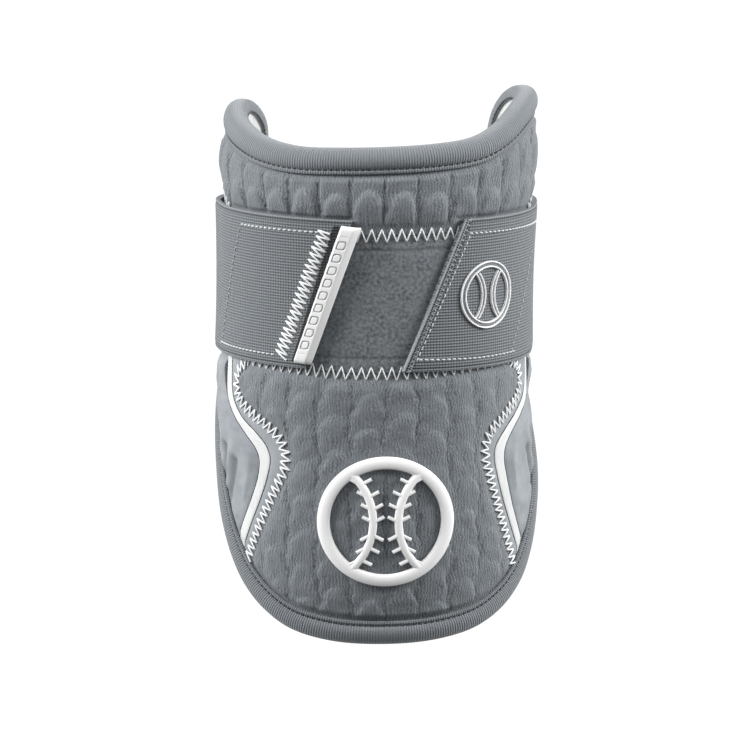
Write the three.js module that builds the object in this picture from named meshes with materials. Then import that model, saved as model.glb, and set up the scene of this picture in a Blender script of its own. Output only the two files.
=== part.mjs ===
import * as THREE from "three";

// Driving sizes, in mm. The pattern is drawn by angle round the arm (degrees, 0 at the
// front) and by height along the arm, and is then wrapped round the arm's section.
const HALF_LENGTH = 100;
const HALF_WIDTH = 57;
const FRONT_DEPTH = 51.5;
const AXIS_HEIGHT = 39;
const CENTRE = { x: 0.04, y: 3.1 };
const FOOT_CURL = 7;
const NECK_CURL = 2;

const LINING_IN = -4.4;
const LINING_OUT = -3.15;
const PAD_IN = -2.7;
const PAD_OUT = 2.4;
const SEAM_OUT = 1.1;
const BAND_OUT = 1.5;
const SIDE_OUT = 2.1;
const TRIM_OUT = 1.5;
const PRESSED_OUT = 0.7;
const SEAM_GAP = 0.36;

const BINDING_WIDTH = 9.4;
const BINDING_THICK = 2.0;
const BINDING_CLEAR = 1.2;

const STRAP_WIDTH = 55.8;
const STRAP_FOOT = 6.0;
const STRAP_HEAD = STRAP_FOOT + STRAP_WIDTH;
const STRAP_THICK = 1.9;
const STRAP_IN = 1.9;
const STRAP_LIFT = 1.7;
const STRAP_TURN = 0.75;
const FLOOR_BLEND = 2.5;

const TAB_IN = STRAP_IN + STRAP_THICK + 0.3;
const TAB_THICK = 3.0;
const BADGE_RADIUS = 24.5;
const BADGE_STROKE = 4.6;
const BADGE_THICK = 1.9;
const BADGE_AT = { angle: 0.5, height: -0.5 };
const PATCH_RADIUS = 12.5;
const PATCH_STROKE = 2.2;
const PATCH_THICK = 0.7;
const PATCH_AT = { angle: 41, height: 0.325 };

// Half widths of the section, as shares of HALF_WIDTH; heights are shares of HALF_LENGTH.
const SECTION = [
  { height: -1.0, left: 1.008, right: 1.008 },
  { height: -0.6, left: 1.008, right: 1.018 },
  { height: -0.4, left: 1.0, right: 1.016 },
  { height: -0.12, left: 1.005, right: 0.978 },
  { height: 0.08, left: 0.974, right: 0.967 },
  { height: 0.35, left: 0.962, right: 0.97 },
  { height: 0.63, left: 0.968, right: 0.996 },
  { height: 0.75, left: 0.982, right: 1.01 },
  { height: 0.85, left: 0.955, right: 1.01 },
  { height: 1.0, left: 0.922, right: 1.004 },
];

// The rim, from the middle of the neck round by the left side.
const RIM = [
  { angle: 0, height: 0.883 },
  { angle: -17, height: 0.879 },
  { angle: -34, height: 0.877 },
  { angle: -50, height: 0.892 },
  { angle: -69, height: 0.93 },
  { angle: -86, height: 0.966 },
  { angle: -99, height: 0.987 },
  { angle: -110, height: 0.985 },
  { angle: -120, height: 0.953 },
  { angle: -127.5, height: 0.895 },
  { angle: -131, height: 0.81 },
  { angle: -131.5, height: 0.68 },
  { angle: -129, height: 0.5 },
  { angle: -124, height: 0.3 },
  { angle: -117, height: 0.1 },
  { angle: -109, height: -0.08 },
  { angle: -101, height: -0.23 },
  { angle: -92, height: -0.385 },
  { angle: -81.6, height: -0.53 },
  { angle: -75.2, height: -0.613 },
  { angle: -68.5, height: -0.695 },
  { angle: -61, height: -0.775 },
  { angle: -49, height: -0.867 },
  { angle: -36, height: -0.933 },
  { angle: -19, height: -0.971 },
  { angle: 0, height: -0.981 },
  { angle: 19, height: -0.972 },
  { angle: 37, height: -0.938 },
  { angle: 50, height: -0.883 },
  { angle: 62, height: -0.805 },
  { angle: 70, height: -0.73 },
  { angle: 77, height: -0.645 },
  { angle: 84, height: -0.54 },
  { angle: 92, height: -0.405 },
  { angle: 101, height: -0.24 },
  { angle: 109, height: -0.08 },
  { angle: 116, height: 0.1 },
  { angle: 121, height: 0.3 },
  { angle: 124.5, height: 0.5 },
  { angle: 126.5, height: 0.7 },
  { angle: 126, height: 0.83 },
  { angle: 122, height: 0.93 },
  { angle: 114, height: 1.0 },
  { angle: 104, height: 1.035 },
  { angle: 92, height: 1.043 },
  { angle: 80, height: 1.035 },
  { angle: 65, height: 1.0 },
  { angle: 50, height: 0.942 },
  { angle: 37, height: 0.905 },
  { angle: 20, height: 0.89 },
];

// Sides of the lower front panel and the two edges of each white trim, top to bottom.
const FRONT_SEAM = {
  left: [
    [-60, 0.05], [-64.6, 0.022], [-66.4, -0.025], [-63.6, -0.078], [-57.2, -0.117],
    [-48, -0.158], [-40.8, -0.203], [-37.8, -0.256], [-37.6, -0.308], [-40.7, -0.375],
    [-44.8, -0.445], [-49.3, -0.532], [-53.9, -0.63], [-58, -0.725], [-63, -0.84],
  ],
  right: [
    [60, 0.05], [65.4, 0.022], [68, -0.027], [65.2, -0.078], [58.6, -0.117],
    [49.6, -0.165], [43.4, -0.207], [41, -0.252], [41.1, -0.305], [43.2, -0.378],
    [45.7, -0.455], [49, -0.538], [52.8, -0.622], [57.5, -0.72], [63, -0.84],
  ],
};
const TRIM_INNER = {
  left: [
    [-73.4, 0.16], [-72.8, 0.08], [-71.5, 0.0], [-68.6, -0.081], [-61.7, -0.147],
    [-52.3, -0.2], [-46.8, -0.245], [-45, -0.29], [-46.3, -0.352], [-50.4, -0.452],
    [-54.9, -0.542], [-59.4, -0.632], [-66, -0.76],
  ],
  right: [
    [77.6, 0.16], [78.1, 0.06], [77.6, -0.02], [73.8, -0.084], [62.9, -0.147],
    [53.2, -0.202], [47.4, -0.252], [46, -0.294], [47.1, -0.363], [50.3, -0.463],
    [54.3, -0.547], [59, -0.633], [66, -0.76],
  ],
};
const TRIM_OUTER = {
  left: [
    [-78.4, 0.16], [-77.9, 0.08], [-76.7, 0.0], [-73.6, -0.09], [-67.6, -0.15],
    [-58, -0.217], [-52.4, -0.262], [-50.6, -0.3], [-51.4, -0.36], [-55.6, -0.459],
    [-60.2, -0.545], [-64.6, -0.632], [-70, -0.74],
  ],
  right: [
    [82.6, 0.16], [83.2, 0.06], [82.8, -0.02], [79.4, -0.1], [68.2, -0.16],
    [58.2, -0.215], [53, -0.265], [51.7, -0.305], [52.6, -0.371], [55.6, -0.471],
    [59.6, -0.555], [64.2, -0.635], [70, -0.74],
  ],
};

// Corners of the moulded tab and of the strap's two ends, on the front.
const TAB_CORNERS = {
  headLeft: [-15.2, 0.603],
  headRight: [-8.2, 0.596],
  footLeft: [-33, 0.09],
  footRight: [-26.2, 0.084],
};
const STRAP_ENDS = { rightHead: 29.8, rightFoot: 6.4, leftHead: -11.5, leftFoot: -30 };

const lerp = (a, b, k) => a + (b - a) * k;
const clamp01 = (k) => Math.min(1, Math.max(0, k));
const smooth = (a, b, x) => {
  const k = clamp01((x - a) / (b - a));
  return k * k * (3 - 2 * k);
};

// Smooth value of one column of the section table.
function halfWidth(height, column) {
  const rows = SECTION;
  const h = height / HALF_LENGTH;
  if (h <= rows[0].height) return rows[0][column] * HALF_WIDTH;
  for (let i = 0; i + 1 < rows.length; i += 1) {
    if (h > rows[i + 1].height) continue;
    const before = rows[Math.max(0, i - 1)];
    const after = rows[Math.min(rows.length - 1, i + 2)];
    const step = rows[i + 1].height - rows[i].height;
    const k = (h - rows[i].height) / step;
    const inSlope = (rows[i + 1][column] - before[column]) / (rows[i + 1].height - before.height || 1);
    const outSlope = (after[column] - rows[i][column]) / (after.height - rows[i].height || 1);
    const k2 = k * k;
    const k3 = k2 * k;
    const share = (2 * k3 - 3 * k2 + 1) * rows[i][column] + (k3 - 2 * k2 + k) * step * inSlope
      + (3 * k2 - 2 * k3) * rows[i + 1][column] + (k3 - k2) * step * outSlope;
    return share * HALF_WIDTH;
  }
  return rows[rows.length - 1][column] * HALF_WIDTH;
}

function sectionPoint(angle, height, out) {
  const a = THREE.MathUtils.degToRad(angle);
  const wide = halfWidth(height, Math.sin(a) < 0 ? "left" : "right");
  const foot = Math.max(0, (-height - 0.4 * HALF_LENGTH) / (0.6 * HALF_LENGTH));
  const neck = Math.max(0, (height - 0.6 * HALF_LENGTH) / (0.37 * HALF_LENGTH));
  const deep = FRONT_DEPTH - FOOT_CURL * foot * foot - NECK_CURL * neck * neck;
  const nx = Math.sin(a) / wide;
  const nz = Math.cos(a) / deep;
  const n = Math.hypot(nx, nz);
  const x = wide * Math.sin(a) + (out * nx) / n;
  const z = AXIS_HEIGHT + deep * Math.cos(a) + (out * nz) / n;
  return [x - CENTRE.x, height - CENTRE.y, z];
}

const shellPoint = (angle, height, out) => sectionPoint(angle, height, out);

// The strap follows the shell and lies flat on the floor behind the arm.
function strapPoint(angle, height, out) {
  const middle = STRAP_IN + STRAP_THICK / 2;
  const path = (at) => {
    const turn = Math.abs(((at + 180) % 360 + 360) % 360 - 180);
    const p = sectionPoint(at, height, middle + STRAP_LIFT * smooth(84, 103, turn));
    const over = p[2] - STRAP_THICK / 2;
    let z = p[2];
    if (turn > 90 && over < FLOOR_BLEND) {
      z = STRAP_THICK / 2 + (over > -FLOOR_BLEND ? (over + FLOOR_BLEND) ** 2 / (4 * FLOOR_BLEND) : 0);
    }
    return [p[0], z];
  };
  const here = path(angle);
  const next = path(angle + 0.2);
  const last = path(angle - 0.2);
  const dx = next[0] - last[0];
  const dz = next[1] - last[1];
  const d = Math.hypot(dx, dz);
  const off = out - middle;
  return [here[0] - (dz / d) * off, height - CENTRE.y, here[1] + (dx / d) * off];
}

// Evenly spaced points of a smooth curve through table points.
function curve(points, count, closed = false) {
  const spots = points.map(([angle, share]) => new THREE.Vector3(angle, share * HALF_LENGTH, 0));
  const line = new THREE.CatmullRomCurve3(spots, closed, "centripetal");
  line.arcLengthDivisions = 1200;
  return line.getSpacedPoints(count).map((p) => [p.x, p.y]);
}

const RIM_COUNT = 1440;
const rim = curve(RIM.map((r) => [r.angle, r.height]), RIM_COUNT, true).slice(0, RIM_COUNT);

// Point of the rim at a step along it, moved inward by a depth.
function rimPoint(step, depth) {
  const at = (i) => rim[((Math.round(i) % RIM_COUNT) + RIM_COUNT) % RIM_COUNT];
  const k = step - Math.floor(step);
  const a = at(Math.floor(step));
  const b = at(Math.floor(step) + 1);
  const before = at(Math.floor(step) - 8);
  const after = at(Math.floor(step) + 9);
  const dx = after[0] - before[0];
  const dy = after[1] - before[1];
  const d = Math.hypot(dx, dy);
  return [lerp(a[0], b[0], k) - (dy / d) * depth, lerp(a[1], b[1], k) + (dx / d) * depth];
}

const PRESS_EDGE = BINDING_WIDTH + 1.4;
const PAD_EDGE = PRESS_EDGE + 2.2;

// Step of the rim where a pattern line meets the padded edge.
function meetRim(line, from, to) {
  let best = { gap: Infinity };
  for (let step = from; step <= to; step += 1) {
    const p = rimPoint(step, PAD_EDGE);
    line.forEach((q, i) => {
      const gap = Math.hypot(p[0] - q[0], p[1] - q[1]);
      if (gap < best.gap) best = { gap, step, i };
    });
  }
  return best;
}

function shift(line, off) {
  return line.map((p, i) => {
    const a = line[Math.max(0, i - 1)];
    const b = line[Math.min(line.length - 1, i + 1)];
    const dx = b[0] - a[0];
    const dy = b[1] - a[1];
    const d = Math.hypot(dx, dy) || 1;
    return [p[0] - (dy / d) * off, p[1] + (dx / d) * off];
  });
}

// A line sampled again at given shares of its length.
function sample(line, shares) {
  const run = [0];
  for (let i = 1; i < line.length; i += 1) {
    run.push(run[i - 1] + Math.hypot(line[i][0] - line[i - 1][0], line[i][1] - line[i - 1][1]));
  }
  return shares.map((share) => {
    const want = share * run[run.length - 1];
    let i = 1;
    while (i < line.length - 1 && run[i] < want) i += 1;
    const k = (want - run[i - 1]) / (run[i] - run[i - 1] || 1);
    return [lerp(line[i - 1][0], line[i][0], k), lerp(line[i - 1][1], line[i][1], k)];
  });
}

const even = (n) => Array.from({ length: n + 1 }, (_, i) => i / n);
const bothEnds = (n) => even(n).map((k) => lerp(k, 0.5 - 0.5 * Math.cos(Math.PI * k), 0.72));
const firstEnd = (n) => even(n).map((k) => lerp(k, 1 - Math.cos((Math.PI * k) / 2), 0.75));
const lastEnd = (n) => firstEnd(n).map((k) => 1 - k).reverse();
const DOWN = lastEnd(15);
const rimSteps = (from, to, shares) => shares.map((k) => lerp(from, to, k));

// A grid filled between four border lines.
function fill({ foot, head, left, right }, us, vs) {
  const flat = { spots: [], cells: [], wide: us.length, high: vs.length };
  const width = Math.abs(foot[foot.length - 1][0] - foot[0][0]) / 2 + Math.abs(head[head.length - 1][0] - head[0][0]) / 2;
  const height = Math.abs(left[left.length - 1][1] - left[0][1]) / 2 + Math.abs(right[right.length - 1][1] - right[0][1]) / 2;
  vs.forEach((v, j) => {
    us.forEach((u, i) => {
      const spot = [0, 1].map((c) => lerp(foot[i][c], head[i][c], v) + lerp(left[j][c], right[j][c], u)
        - lerp(lerp(foot[0][c], foot[us.length - 1][c], u), lerp(head[0][c], head[us.length - 1][c], u), v));
      flat.spots.push({ angle: spot[0], height: spot[1], u, v, left: u * width, right: (1 - u) * width,
        foot: v * height, head: (1 - v) * height, depth: PAD_EDGE });
      if (i && j) {
        const n = j * us.length + i;
        flat.cells.push([n - us.length - 1, n - us.length, n, n - 1]);
      }
    });
  });
  return flat;
}

const side = {
  left: (f) => Array.from({ length: f.high }, (_, j) => (f.high - 1 - j) * f.wide),
  right: (f) => Array.from({ length: f.high }, (_, j) => j * f.wide + f.wide - 1),
  foot: (f) => Array.from({ length: f.wide }, (_, i) => i),
  head: (f) => Array.from({ length: f.wide }, (_, i) => (f.high - 1) * f.wide + f.wide - 1 - i),
};

// Rows that carry a border on under the binding; the border runs the way the rim runs.
function selvage(flat, border, steps) {
  let last = border;
  [PRESS_EDGE, BINDING_CLEAR].forEach((depth) => {
    const row = steps.map((step) => {
      const [angle, height] = rimPoint(step, depth);
      flat.spots.push({ angle, height, depth });
      return flat.spots.length - 1;
    });
    for (let i = 1; i < row.length; i += 1) flat.cells.push([row[i - 1], row[i], last[i], last[i - 1]]);
    last = row;
  });
  return flat;
}

// Pillow height between a seam and the full pad.
function pillow(distance, low, high, reach) {
  const k = clamp01(distance / reach);
  return lerp(low, high, Math.sqrt(1 - (1 - k) * (1 - k)));
}

function mesh(name, positions, triangles, material) {
  const geometry = new THREE.BufferGeometry();
  geometry.setAttribute("position", new THREE.Float32BufferAttribute(positions.flat(), 3));
  geometry.setIndex(triangles.flat());
  geometry.computeVertexNormals();
  const made = new THREE.Mesh(geometry, material);
  made.name = name;
  return made;
}

// A closed solid from a flat pattern, with an outer and an inner face and a wall round it.
function sheet(name, flat, outOf, inOf, place, material) {
  const count = flat.spots.length;
  const outer = flat.spots.map((s) => place(s.angle, s.height, outOf(s)));
  const inner = flat.spots.map((s) => place(s.angle, s.height, inOf(s)));
  const triangles = [];
  const edges = new Map();
  flat.cells.forEach((cell) => {
    for (let i = 1; i + 1 < cell.length; i += 1) {
      triangles.push([cell[0], cell[i], cell[i + 1]]);
      triangles.push([cell[0] + count, cell[i + 1] + count, cell[i] + count]);
    }
    cell.forEach((from, i) => {
      const to = cell[(i + 1) % cell.length];
      const back = `${to},${from}`;
      if (edges.has(back)) edges.delete(back);
      else edges.set(`${from},${to}`, [from, to]);
    });
  });
  edges.forEach(([from, to]) => {
    triangles.push([from, from + count, to + count]);
    triangles.push([from, to + count, to]);
  });
  return mesh(name, [...outer, ...inner], triangles, material);
}

const cloth = (hex, rough = 0.9) => new THREE.MeshStandardMaterial({ color: hex, roughness: rough, metalness: 0 });
const KNIT = cloth(0x757a7f);
const LOOP = cloth(0x696e72);
const FOAM = cloth(0x9fa2a6);
const RIBBON = cloth(0xd6d8d8, 0.7);
const TAPE = cloth(0x64696d);
const ELASTIC = cloth(0x6e7377);
const LINING = cloth(0xdadcdd);
const MOULDED = cloth(0xededed, 0.45);

const group = new THREE.Group();
group.name = "baseball_elbow_guard";

// The pads rise only beyond these heights, clear of the strap.
const STRAP_CLEAR = { foot: STRAP_FOOT - STRAP_TURN - 0.6, head: STRAP_HEAD + STRAP_TURN + 0.6 };

// Seam lines that cross the whole pattern.
const bandFoot = (angle) => HALF_LENGTH
  * (0.05 + 0.018 * smooth(10, 52, Math.abs(angle)) + 0.062 * smooth(60, 72, Math.abs(angle)));
const bandHead = (angle) => HALF_LENGTH * (0.56 + 0.09 * smooth(30, 85, Math.abs(angle)));
const across = (from, to, height, off) => even(240).map((k) => {
  const angle = lerp(from, to, k);
  return [angle, height(angle) + off];
});
const GAP = SEAM_GAP / 2;

const half = RIM_COUNT / 2;
const leftFoot = meetRim(across(-125, -60, bandFoot, 0), 0, half);
const leftHead = meetRim(across(-130, -80, bandHead, 0), 0, half);
const rightFoot = meetRim(across(60, 125, bandFoot, 0), half, RIM_COUNT);
const rightHead = meetRim(across(80, 130, bandHead, 0), half, RIM_COUNT);
const earLeft = meetRim([[-118, 84], [-117, 85], [-116, 86]], 0, half);
const earRight = meetRim([[113, 86], [112, 87], [111, 88]], half, RIM_COUNT);

// Padded knit above the strap, with the ears.
{
  const us = bothEnds(32);
  const vs = firstEnd(6);
  const start = leftHead.step - 0.4;
  const end = rightHead.step + 0.4;
  const headSteps = rimSteps(earLeft.step, earRight.step - RIM_COUNT, us);
  const leftSteps = rimSteps(start, earLeft.step, vs);
  const rightSteps = rimSteps(end, earRight.step, vs);
  const left = leftSteps.map((s) => rimPoint(s, PAD_EDGE));
  const right = rightSteps.map((s) => rimPoint(s, PAD_EDGE));
  const foot = sample(across(left[0][0], right[0][0], bandHead, GAP), us);
  foot[0] = left[0];
  foot[us.length - 1] = right[0];
  const flat = fill({ foot, head: headSteps.map((s) => rimPoint(s, PAD_EDGE)), left, right }, us, vs);
  const border = [...side.right(flat), ...side.head(flat).slice(1), ...side.left(flat).slice(1)];
  const steps = [...rightSteps, ...[...headSteps].reverse().slice(1).map((s) => s + RIM_COUNT),
    ...[...leftSteps].reverse().slice(1).map((s) => s + RIM_COUNT)];
  selvage(flat, border, steps);
  const out = (s) => (s.u === undefined ? PRESSED_OUT : pillow(s.height - STRAP_CLEAR.head, SEAM_OUT, PAD_OUT, 7));
  group.add(sheet("upper_panel", flat, out, () => PAD_IN, shellPoint, KNIT));
}

// Band under the strap, faced with loop cloth.
{
  const us = bothEnds(34);
  const vs = bothEnds(5);
  const leftSteps = rimSteps(leftFoot.step - 0.4, leftHead.step + 0.4, vs);
  const rightSteps = rimSteps(rightFoot.step + 0.4, rightHead.step - 0.4, vs);
  const left = leftSteps.map((s) => rimPoint(s, PAD_EDGE));
  const right = rightSteps.map((s) => rimPoint(s, PAD_EDGE));
  const foot = sample(across(left[0][0], right[0][0], bandFoot, GAP), us);
  const head = sample(across(left[5][0], right[5][0], bandHead, -GAP), us);
  foot[0] = left[0];
  foot[us.length - 1] = right[0];
  head[0] = left[5];
  head[us.length - 1] = right[5];
  const flat = fill({ foot, head, left, right }, us, vs);
  selvage(flat, side.left(flat), [...leftSteps].reverse());
  selvage(flat, side.right(flat), rightSteps);
  const out = (s) => (s.u === undefined ? PRESSED_OUT : pillow(Math.min(s.foot, s.head), SEAM_OUT, BAND_OUT, 6));
  group.add(sheet("loop_band", flat, out, () => PAD_IN, shellPoint, LOOP));
}

// Panels below the strap. Each runs from the band down to the binding.
const seam = { left: {}, right: {} };
["left", "right"].forEach((hand) => {
  const low = hand === "left" ? 0 : half;
  const lines = { front: FRONT_SEAM[hand], inner: TRIM_INNER[hand], outer: TRIM_OUTER[hand] };
  Object.entries(lines).forEach(([key, table]) => {
    const line = curve(table, 300);
    const met = meetRim(line, low, low + half);
    const top = line.findIndex((p) => p[1] <= bandFoot(p[0]) + 0.001);
    seam[hand][key] = { line: line.slice(Math.max(0, top), met.i + 1), step: met.step };
  });
});

// Side lines are moved half a gap off the seam, and cut below the band.
function border(entry, off, shares) {
  const line = shift(entry.line, off).filter((p) => p[1] < bandFoot(p[0]) - GAP);
  line.unshift([line[0][0], bandFoot(line[0][0]) - GAP]);
  const spots = sample(line, shares);
  const reach = rimPoint(entry.step, PAD_EDGE);
  const end = spots[spots.length - 1];
  const fix = [reach[0] - end[0] + off * 0.9, reach[1] - end[1]];
  return spots.map((p, i) => [p[0] + fix[0] * shares[i] ** 6, p[1] + fix[1] * shares[i] ** 6]);
}

function downPanel(name, leftLine, rightLine, us, vs, outOf, material) {
  const down = vs.map((v) => 1 - v).reverse();
  const left = border(leftLine.entry, leftLine.off, down).reverse();
  const right = border(rightLine.entry, rightLine.off, down).reverse();
  const steps = rimSteps(leftLine.entry.step + 1.1 * leftLine.inset, rightLine.entry.step - 1.1 * rightLine.inset, us);
  const foot = steps.map((s) => rimPoint(s, PAD_EDGE));
  const n = vs.length - 1;
  left[0] = foot[0];
  right[0] = foot[us.length - 1];
  const head = sample(across(left[n][0], right[n][0], bandFoot, -GAP), us);
  head[0] = left[n];
  head[us.length - 1] = right[n];
  const flat = fill({ foot, head, left, right }, us, vs);
  selvage(flat, side.foot(flat), steps);
  const out = (s) => (s.u === undefined ? PRESSED_OUT : outOf(s));
  group.add(sheet(name, flat, out, () => PAD_IN, shellPoint, material));
}

{
  const from = { entry: seam.left.front, off: GAP, inset: 0.5 };
  const to = { entry: seam.right.front, off: -GAP, inset: 0.5 };
  const out = (s) => pillow(Math.min(s.left, s.right, s.head, STRAP_CLEAR.foot - s.height), SEAM_OUT, PAD_OUT, 7);
  downPanel("lower_front_panel", from, to, bothEnds(14), DOWN, out, KNIT);
}

["left", "right"].forEach((hand) => {
  const lines = seam[hand];
  const near = (entry) => ({ entry, off: GAP, inset: 0.5 });
  const far = (entry) => ({ entry, off: -GAP, inset: 0.5 });
  const pair = (a, b) => (hand === "left" ? [near(lines[a]), far(lines[b])] : [near(lines[b]), far(lines[a])]);
  const gusset = (s) => pillow(Math.min(s.left, s.right, s.head), SEAM_OUT, BAND_OUT, 4);
  downPanel(`gusset_${hand}`, ...pair("inner", "front"), bothEnds(4), DOWN, gusset, LOOP);
  downPanel(`trim_${hand}`, ...pair("outer", "inner"), even(1), DOWN, () => TRIM_OUT, RIBBON);
});

// Side panels, from the band to where the trim meets the binding, with two flutes each.
["left", "right"].forEach((hand) => {
  const isLeft = hand === "left";
  const entry = seam[hand].outer;
  const us = bothEnds(5);
  const vs = DOWN;
  const down = vs.map((v) => 1 - v).reverse();
  const inner = border(entry, isLeft ? -GAP : GAP, down).reverse();
  const bandStep = isLeft ? leftFoot.step + 0.9 : rightFoot.step - 0.9;
  const trimStep = isLeft ? entry.step - 1 : entry.step + 1;
  const cornerStep = lerp(bandStep, trimStep, 0.8);
  const outerSteps = rimSteps(cornerStep, bandStep, vs);
  const outer = outerSteps.map((s) => rimPoint(s, PAD_EDGE));
  const footSteps = isLeft ? rimSteps(cornerStep, trimStep, us) : rimSteps(trimStep, cornerStep, us);
  const foot = footSteps.map((s) => rimPoint(s, PAD_EDGE));
  const n = vs.length - 1;
  const left = isLeft ? outer : inner;
  const right = isLeft ? inner : outer;
  left[0] = foot[0];
  right[0] = foot[us.length - 1];
  const head = sample(across(left[n][0], right[n][0], bandFoot, -GAP), us);
  head[0] = left[n];
  head[us.length - 1] = right[n];
  const flat = fill({ foot, head, left, right }, us, vs);
  if (isLeft) {
    selvage(flat, [...side.left(flat), ...side.foot(flat).slice(1)],
      [...[...outerSteps].reverse(), ...footSteps.slice(1)]);
  } else {
    selvage(flat, [...side.foot(flat), ...side.right(flat).slice(1)], [...footSteps, ...outerSteps.slice(1)]);
  }
  const out = (s) => {
    if (s.u === undefined) return PRESSED_OUT;
    const seamSide = isLeft ? s.right : s.left;
    return pillow(Math.min(seamSide, STRAP_CLEAR.foot - s.height), SEAM_OUT, SIDE_OUT, 5);
  };
  group.add(sheet(`side_panel_${hand}`, flat, out, () => PAD_IN, shellPoint, FOAM));
});

// Lining, over the whole pattern.
{
  const us = even(28);
  const vs = even(13);
  const footLeft = meetRim([[-58, -66]], 0, half);
  const footRight = meetRim([[58, -66]], half, RIM_COUNT);
  const at = (s) => rimPoint(s, 2.6 * BINDING_CLEAR);
  const flat = fill({
    foot: rimSteps(footLeft.step, footRight.step, us).map(at),
    head: rimSteps(earLeft.step, earRight.step - RIM_COUNT, us).map(at),
    left: rimSteps(footLeft.step, earLeft.step, vs).map(at),
    right: rimSteps(footRight.step, earRight.step, vs).map(at),
  }, us, vs);
  group.add(sheet("lining", flat, () => LINING_OUT, () => LINING_IN, shellPoint, LINING));
}

// Binding: a tape folded round the rim, as one closed loop.
{
  const top = PRESSED_OUT + 0.42;
  const low = LINING_IN - 0.6;
  const w = BINDING_WIDTH;
  const t = BINDING_THICK;
  const profile = [
    [w, top], [0.93 * w, top + 0.85 * t], [0.45 * w, top + t], [0.1 * w, top + 0.5 * t],
    [0, low + 0.6], [0.12 * w, low - 0.8], [w, low - 1.0], [w, low], [0.9, low], [0.9, top],
  ];
  const stations = 116;
  const n = profile.length;
  const positions = [];
  const triangles = [];
  for (let i = 0; i < stations; i += 1) {
    profile.forEach(([depth, out]) => {
      const [angle, height] = rimPoint((i / stations) * RIM_COUNT, depth);
      positions.push(shellPoint(angle, height, out));
    });
    const a = i * n;
    const b = ((i + 1) % stations) * n;
    for (let j = 0; j < n; j += 1) {
      const k = (j + 1) % n;
      triangles.push([a + j, a + k, b + k], [a + j, b + k, b + j]);
    }
  }
  group.add(mesh("edge_binding", positions, triangles, TAPE));
}

// The strap runs slightly downhill from its left end to its right end.
const strapTurn = (angle) => {
  const signed = ((angle + 180) % 360) - 180;
  return Math.abs(signed) < 120 ? -STRAP_TURN * Math.sin(THREE.MathUtils.degToRad(1.5 * signed)) : 0;
};

// Strap, from its sewn right end round the back to the end under the tab.
{
  const vs = [0, 0.035, 0.34, 0.66, 0.965, 1];
  // Stations slant on the front and are square to the strap round the back.
  const turns = [60, 72, 84, 95, 106, 116, 122, 127, 131, 134, 137, 141, 160, 180];
  const back = [...turns, ...turns.slice(0, -1).reverse().map((a) => 360 - a)];
  const flat = { spots: [], cells: [] };
  vs.forEach((v, j) => {
    const start = lerp(STRAP_ENDS.rightFoot, STRAP_ENDS.rightHead, v);
    const end = 360 + lerp(STRAP_ENDS.leftFoot, STRAP_ENDS.leftHead, v);
    const angles = [
      ...even(9).map((k) => lerp(start, back[0], k)).slice(0, -1),
      ...back,
      ...even(9).map((k) => lerp(back[back.length - 1], end, k)).slice(1),
    ];
    angles.forEach((angle, i) => {
      flat.spots.push({ angle, height: STRAP_FOOT + STRAP_WIDTH * v + strapTurn(angle), v });
      const n = j * angles.length + i;
      if (i && j) flat.cells.push([n - angles.length - 1, n - angles.length, n, n - 1]);
    });
  });
  const edge = (s) => (s.v === 0 || s.v === 1 ? 0.45 : 0);
  group.add(sheet("elastic_strap", flat, (s) => STRAP_IN + STRAP_THICK - edge(s), (s) => STRAP_IN + edge(s),
    strapPoint, ELASTIC));
}

// Moulded tab over the strap's left end.
{
  const at = (name) => [TAB_CORNERS[name][0], TAB_CORNERS[name][1] * HALF_LENGTH];
  const us = [0, 0.14, 0.62, 1];
  const vs = [0, 0.03, 0.35, 0.65, 0.97, 1];
  const heights = [0.62, 0.93, 1, 0.5];
  const flat = fill({
    foot: us.map((u) => [0, 1].map((c) => lerp(at("footLeft")[c], at("footRight")[c], u))),
    head: us.map((u) => [0, 1].map((c) => lerp(at("headLeft")[c], at("headRight")[c], u))),
    left: vs.map((v) => [0, 1].map((c) => lerp(at("footLeft")[c], at("headLeft")[c], v))),
    right: vs.map((v) => [0, 1].map((c) => lerp(at("footRight")[c], at("headRight")[c], v))),
  }, us, vs);
  const out = (s) => {
    const end = s.v === 0 || s.v === 1 ? 0.72 : 1;
    return TAB_IN + TAB_THICK * heights[us.indexOf(s.u)] * end;
  };
  group.add(sheet("pull_tab", flat, out, () => TAB_IN, strapPoint, MOULDED));
}

// Splits triangles until no edge of a flat pattern is longer than a limit.
function refine(flat, limit) {
  const length = (a, b) => Math.hypot(flat.spots[a].angle - flat.spots[b].angle, flat.spots[a].height - flat.spots[b].height);
  for (let turn = 0; turn < 600; turn += 1) {
    let worst = { size: limit };
    flat.cells.forEach((cell) => cell.forEach((from, i) => {
      const to = cell[(i + 1) % 3];
      const size = length(from, to);
      if (size > worst.size) worst = { size, from, to };
    }));
    if (worst.from === undefined) return flat;
    const a = flat.spots[worst.from];
    const b = flat.spots[worst.to];
    flat.spots.push({ angle: (a.angle + b.angle) / 2, height: (a.height + b.height) / 2 });
    const middle = flat.spots.length - 1;
    flat.cells = flat.cells.flatMap((cell) => {
      for (let i = 0; i < 3; i += 1) {
        const [p, q, r] = [cell[i], cell[(i + 1) % 3], cell[(i + 2) % 3]];
        const same = (p === worst.from && q === worst.to) || (p === worst.to && q === worst.from);
        if (same) return [[p, middle, r], [middle, q, r]];
      }
      return [cell];
    });
  }
  return flat;
}

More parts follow.
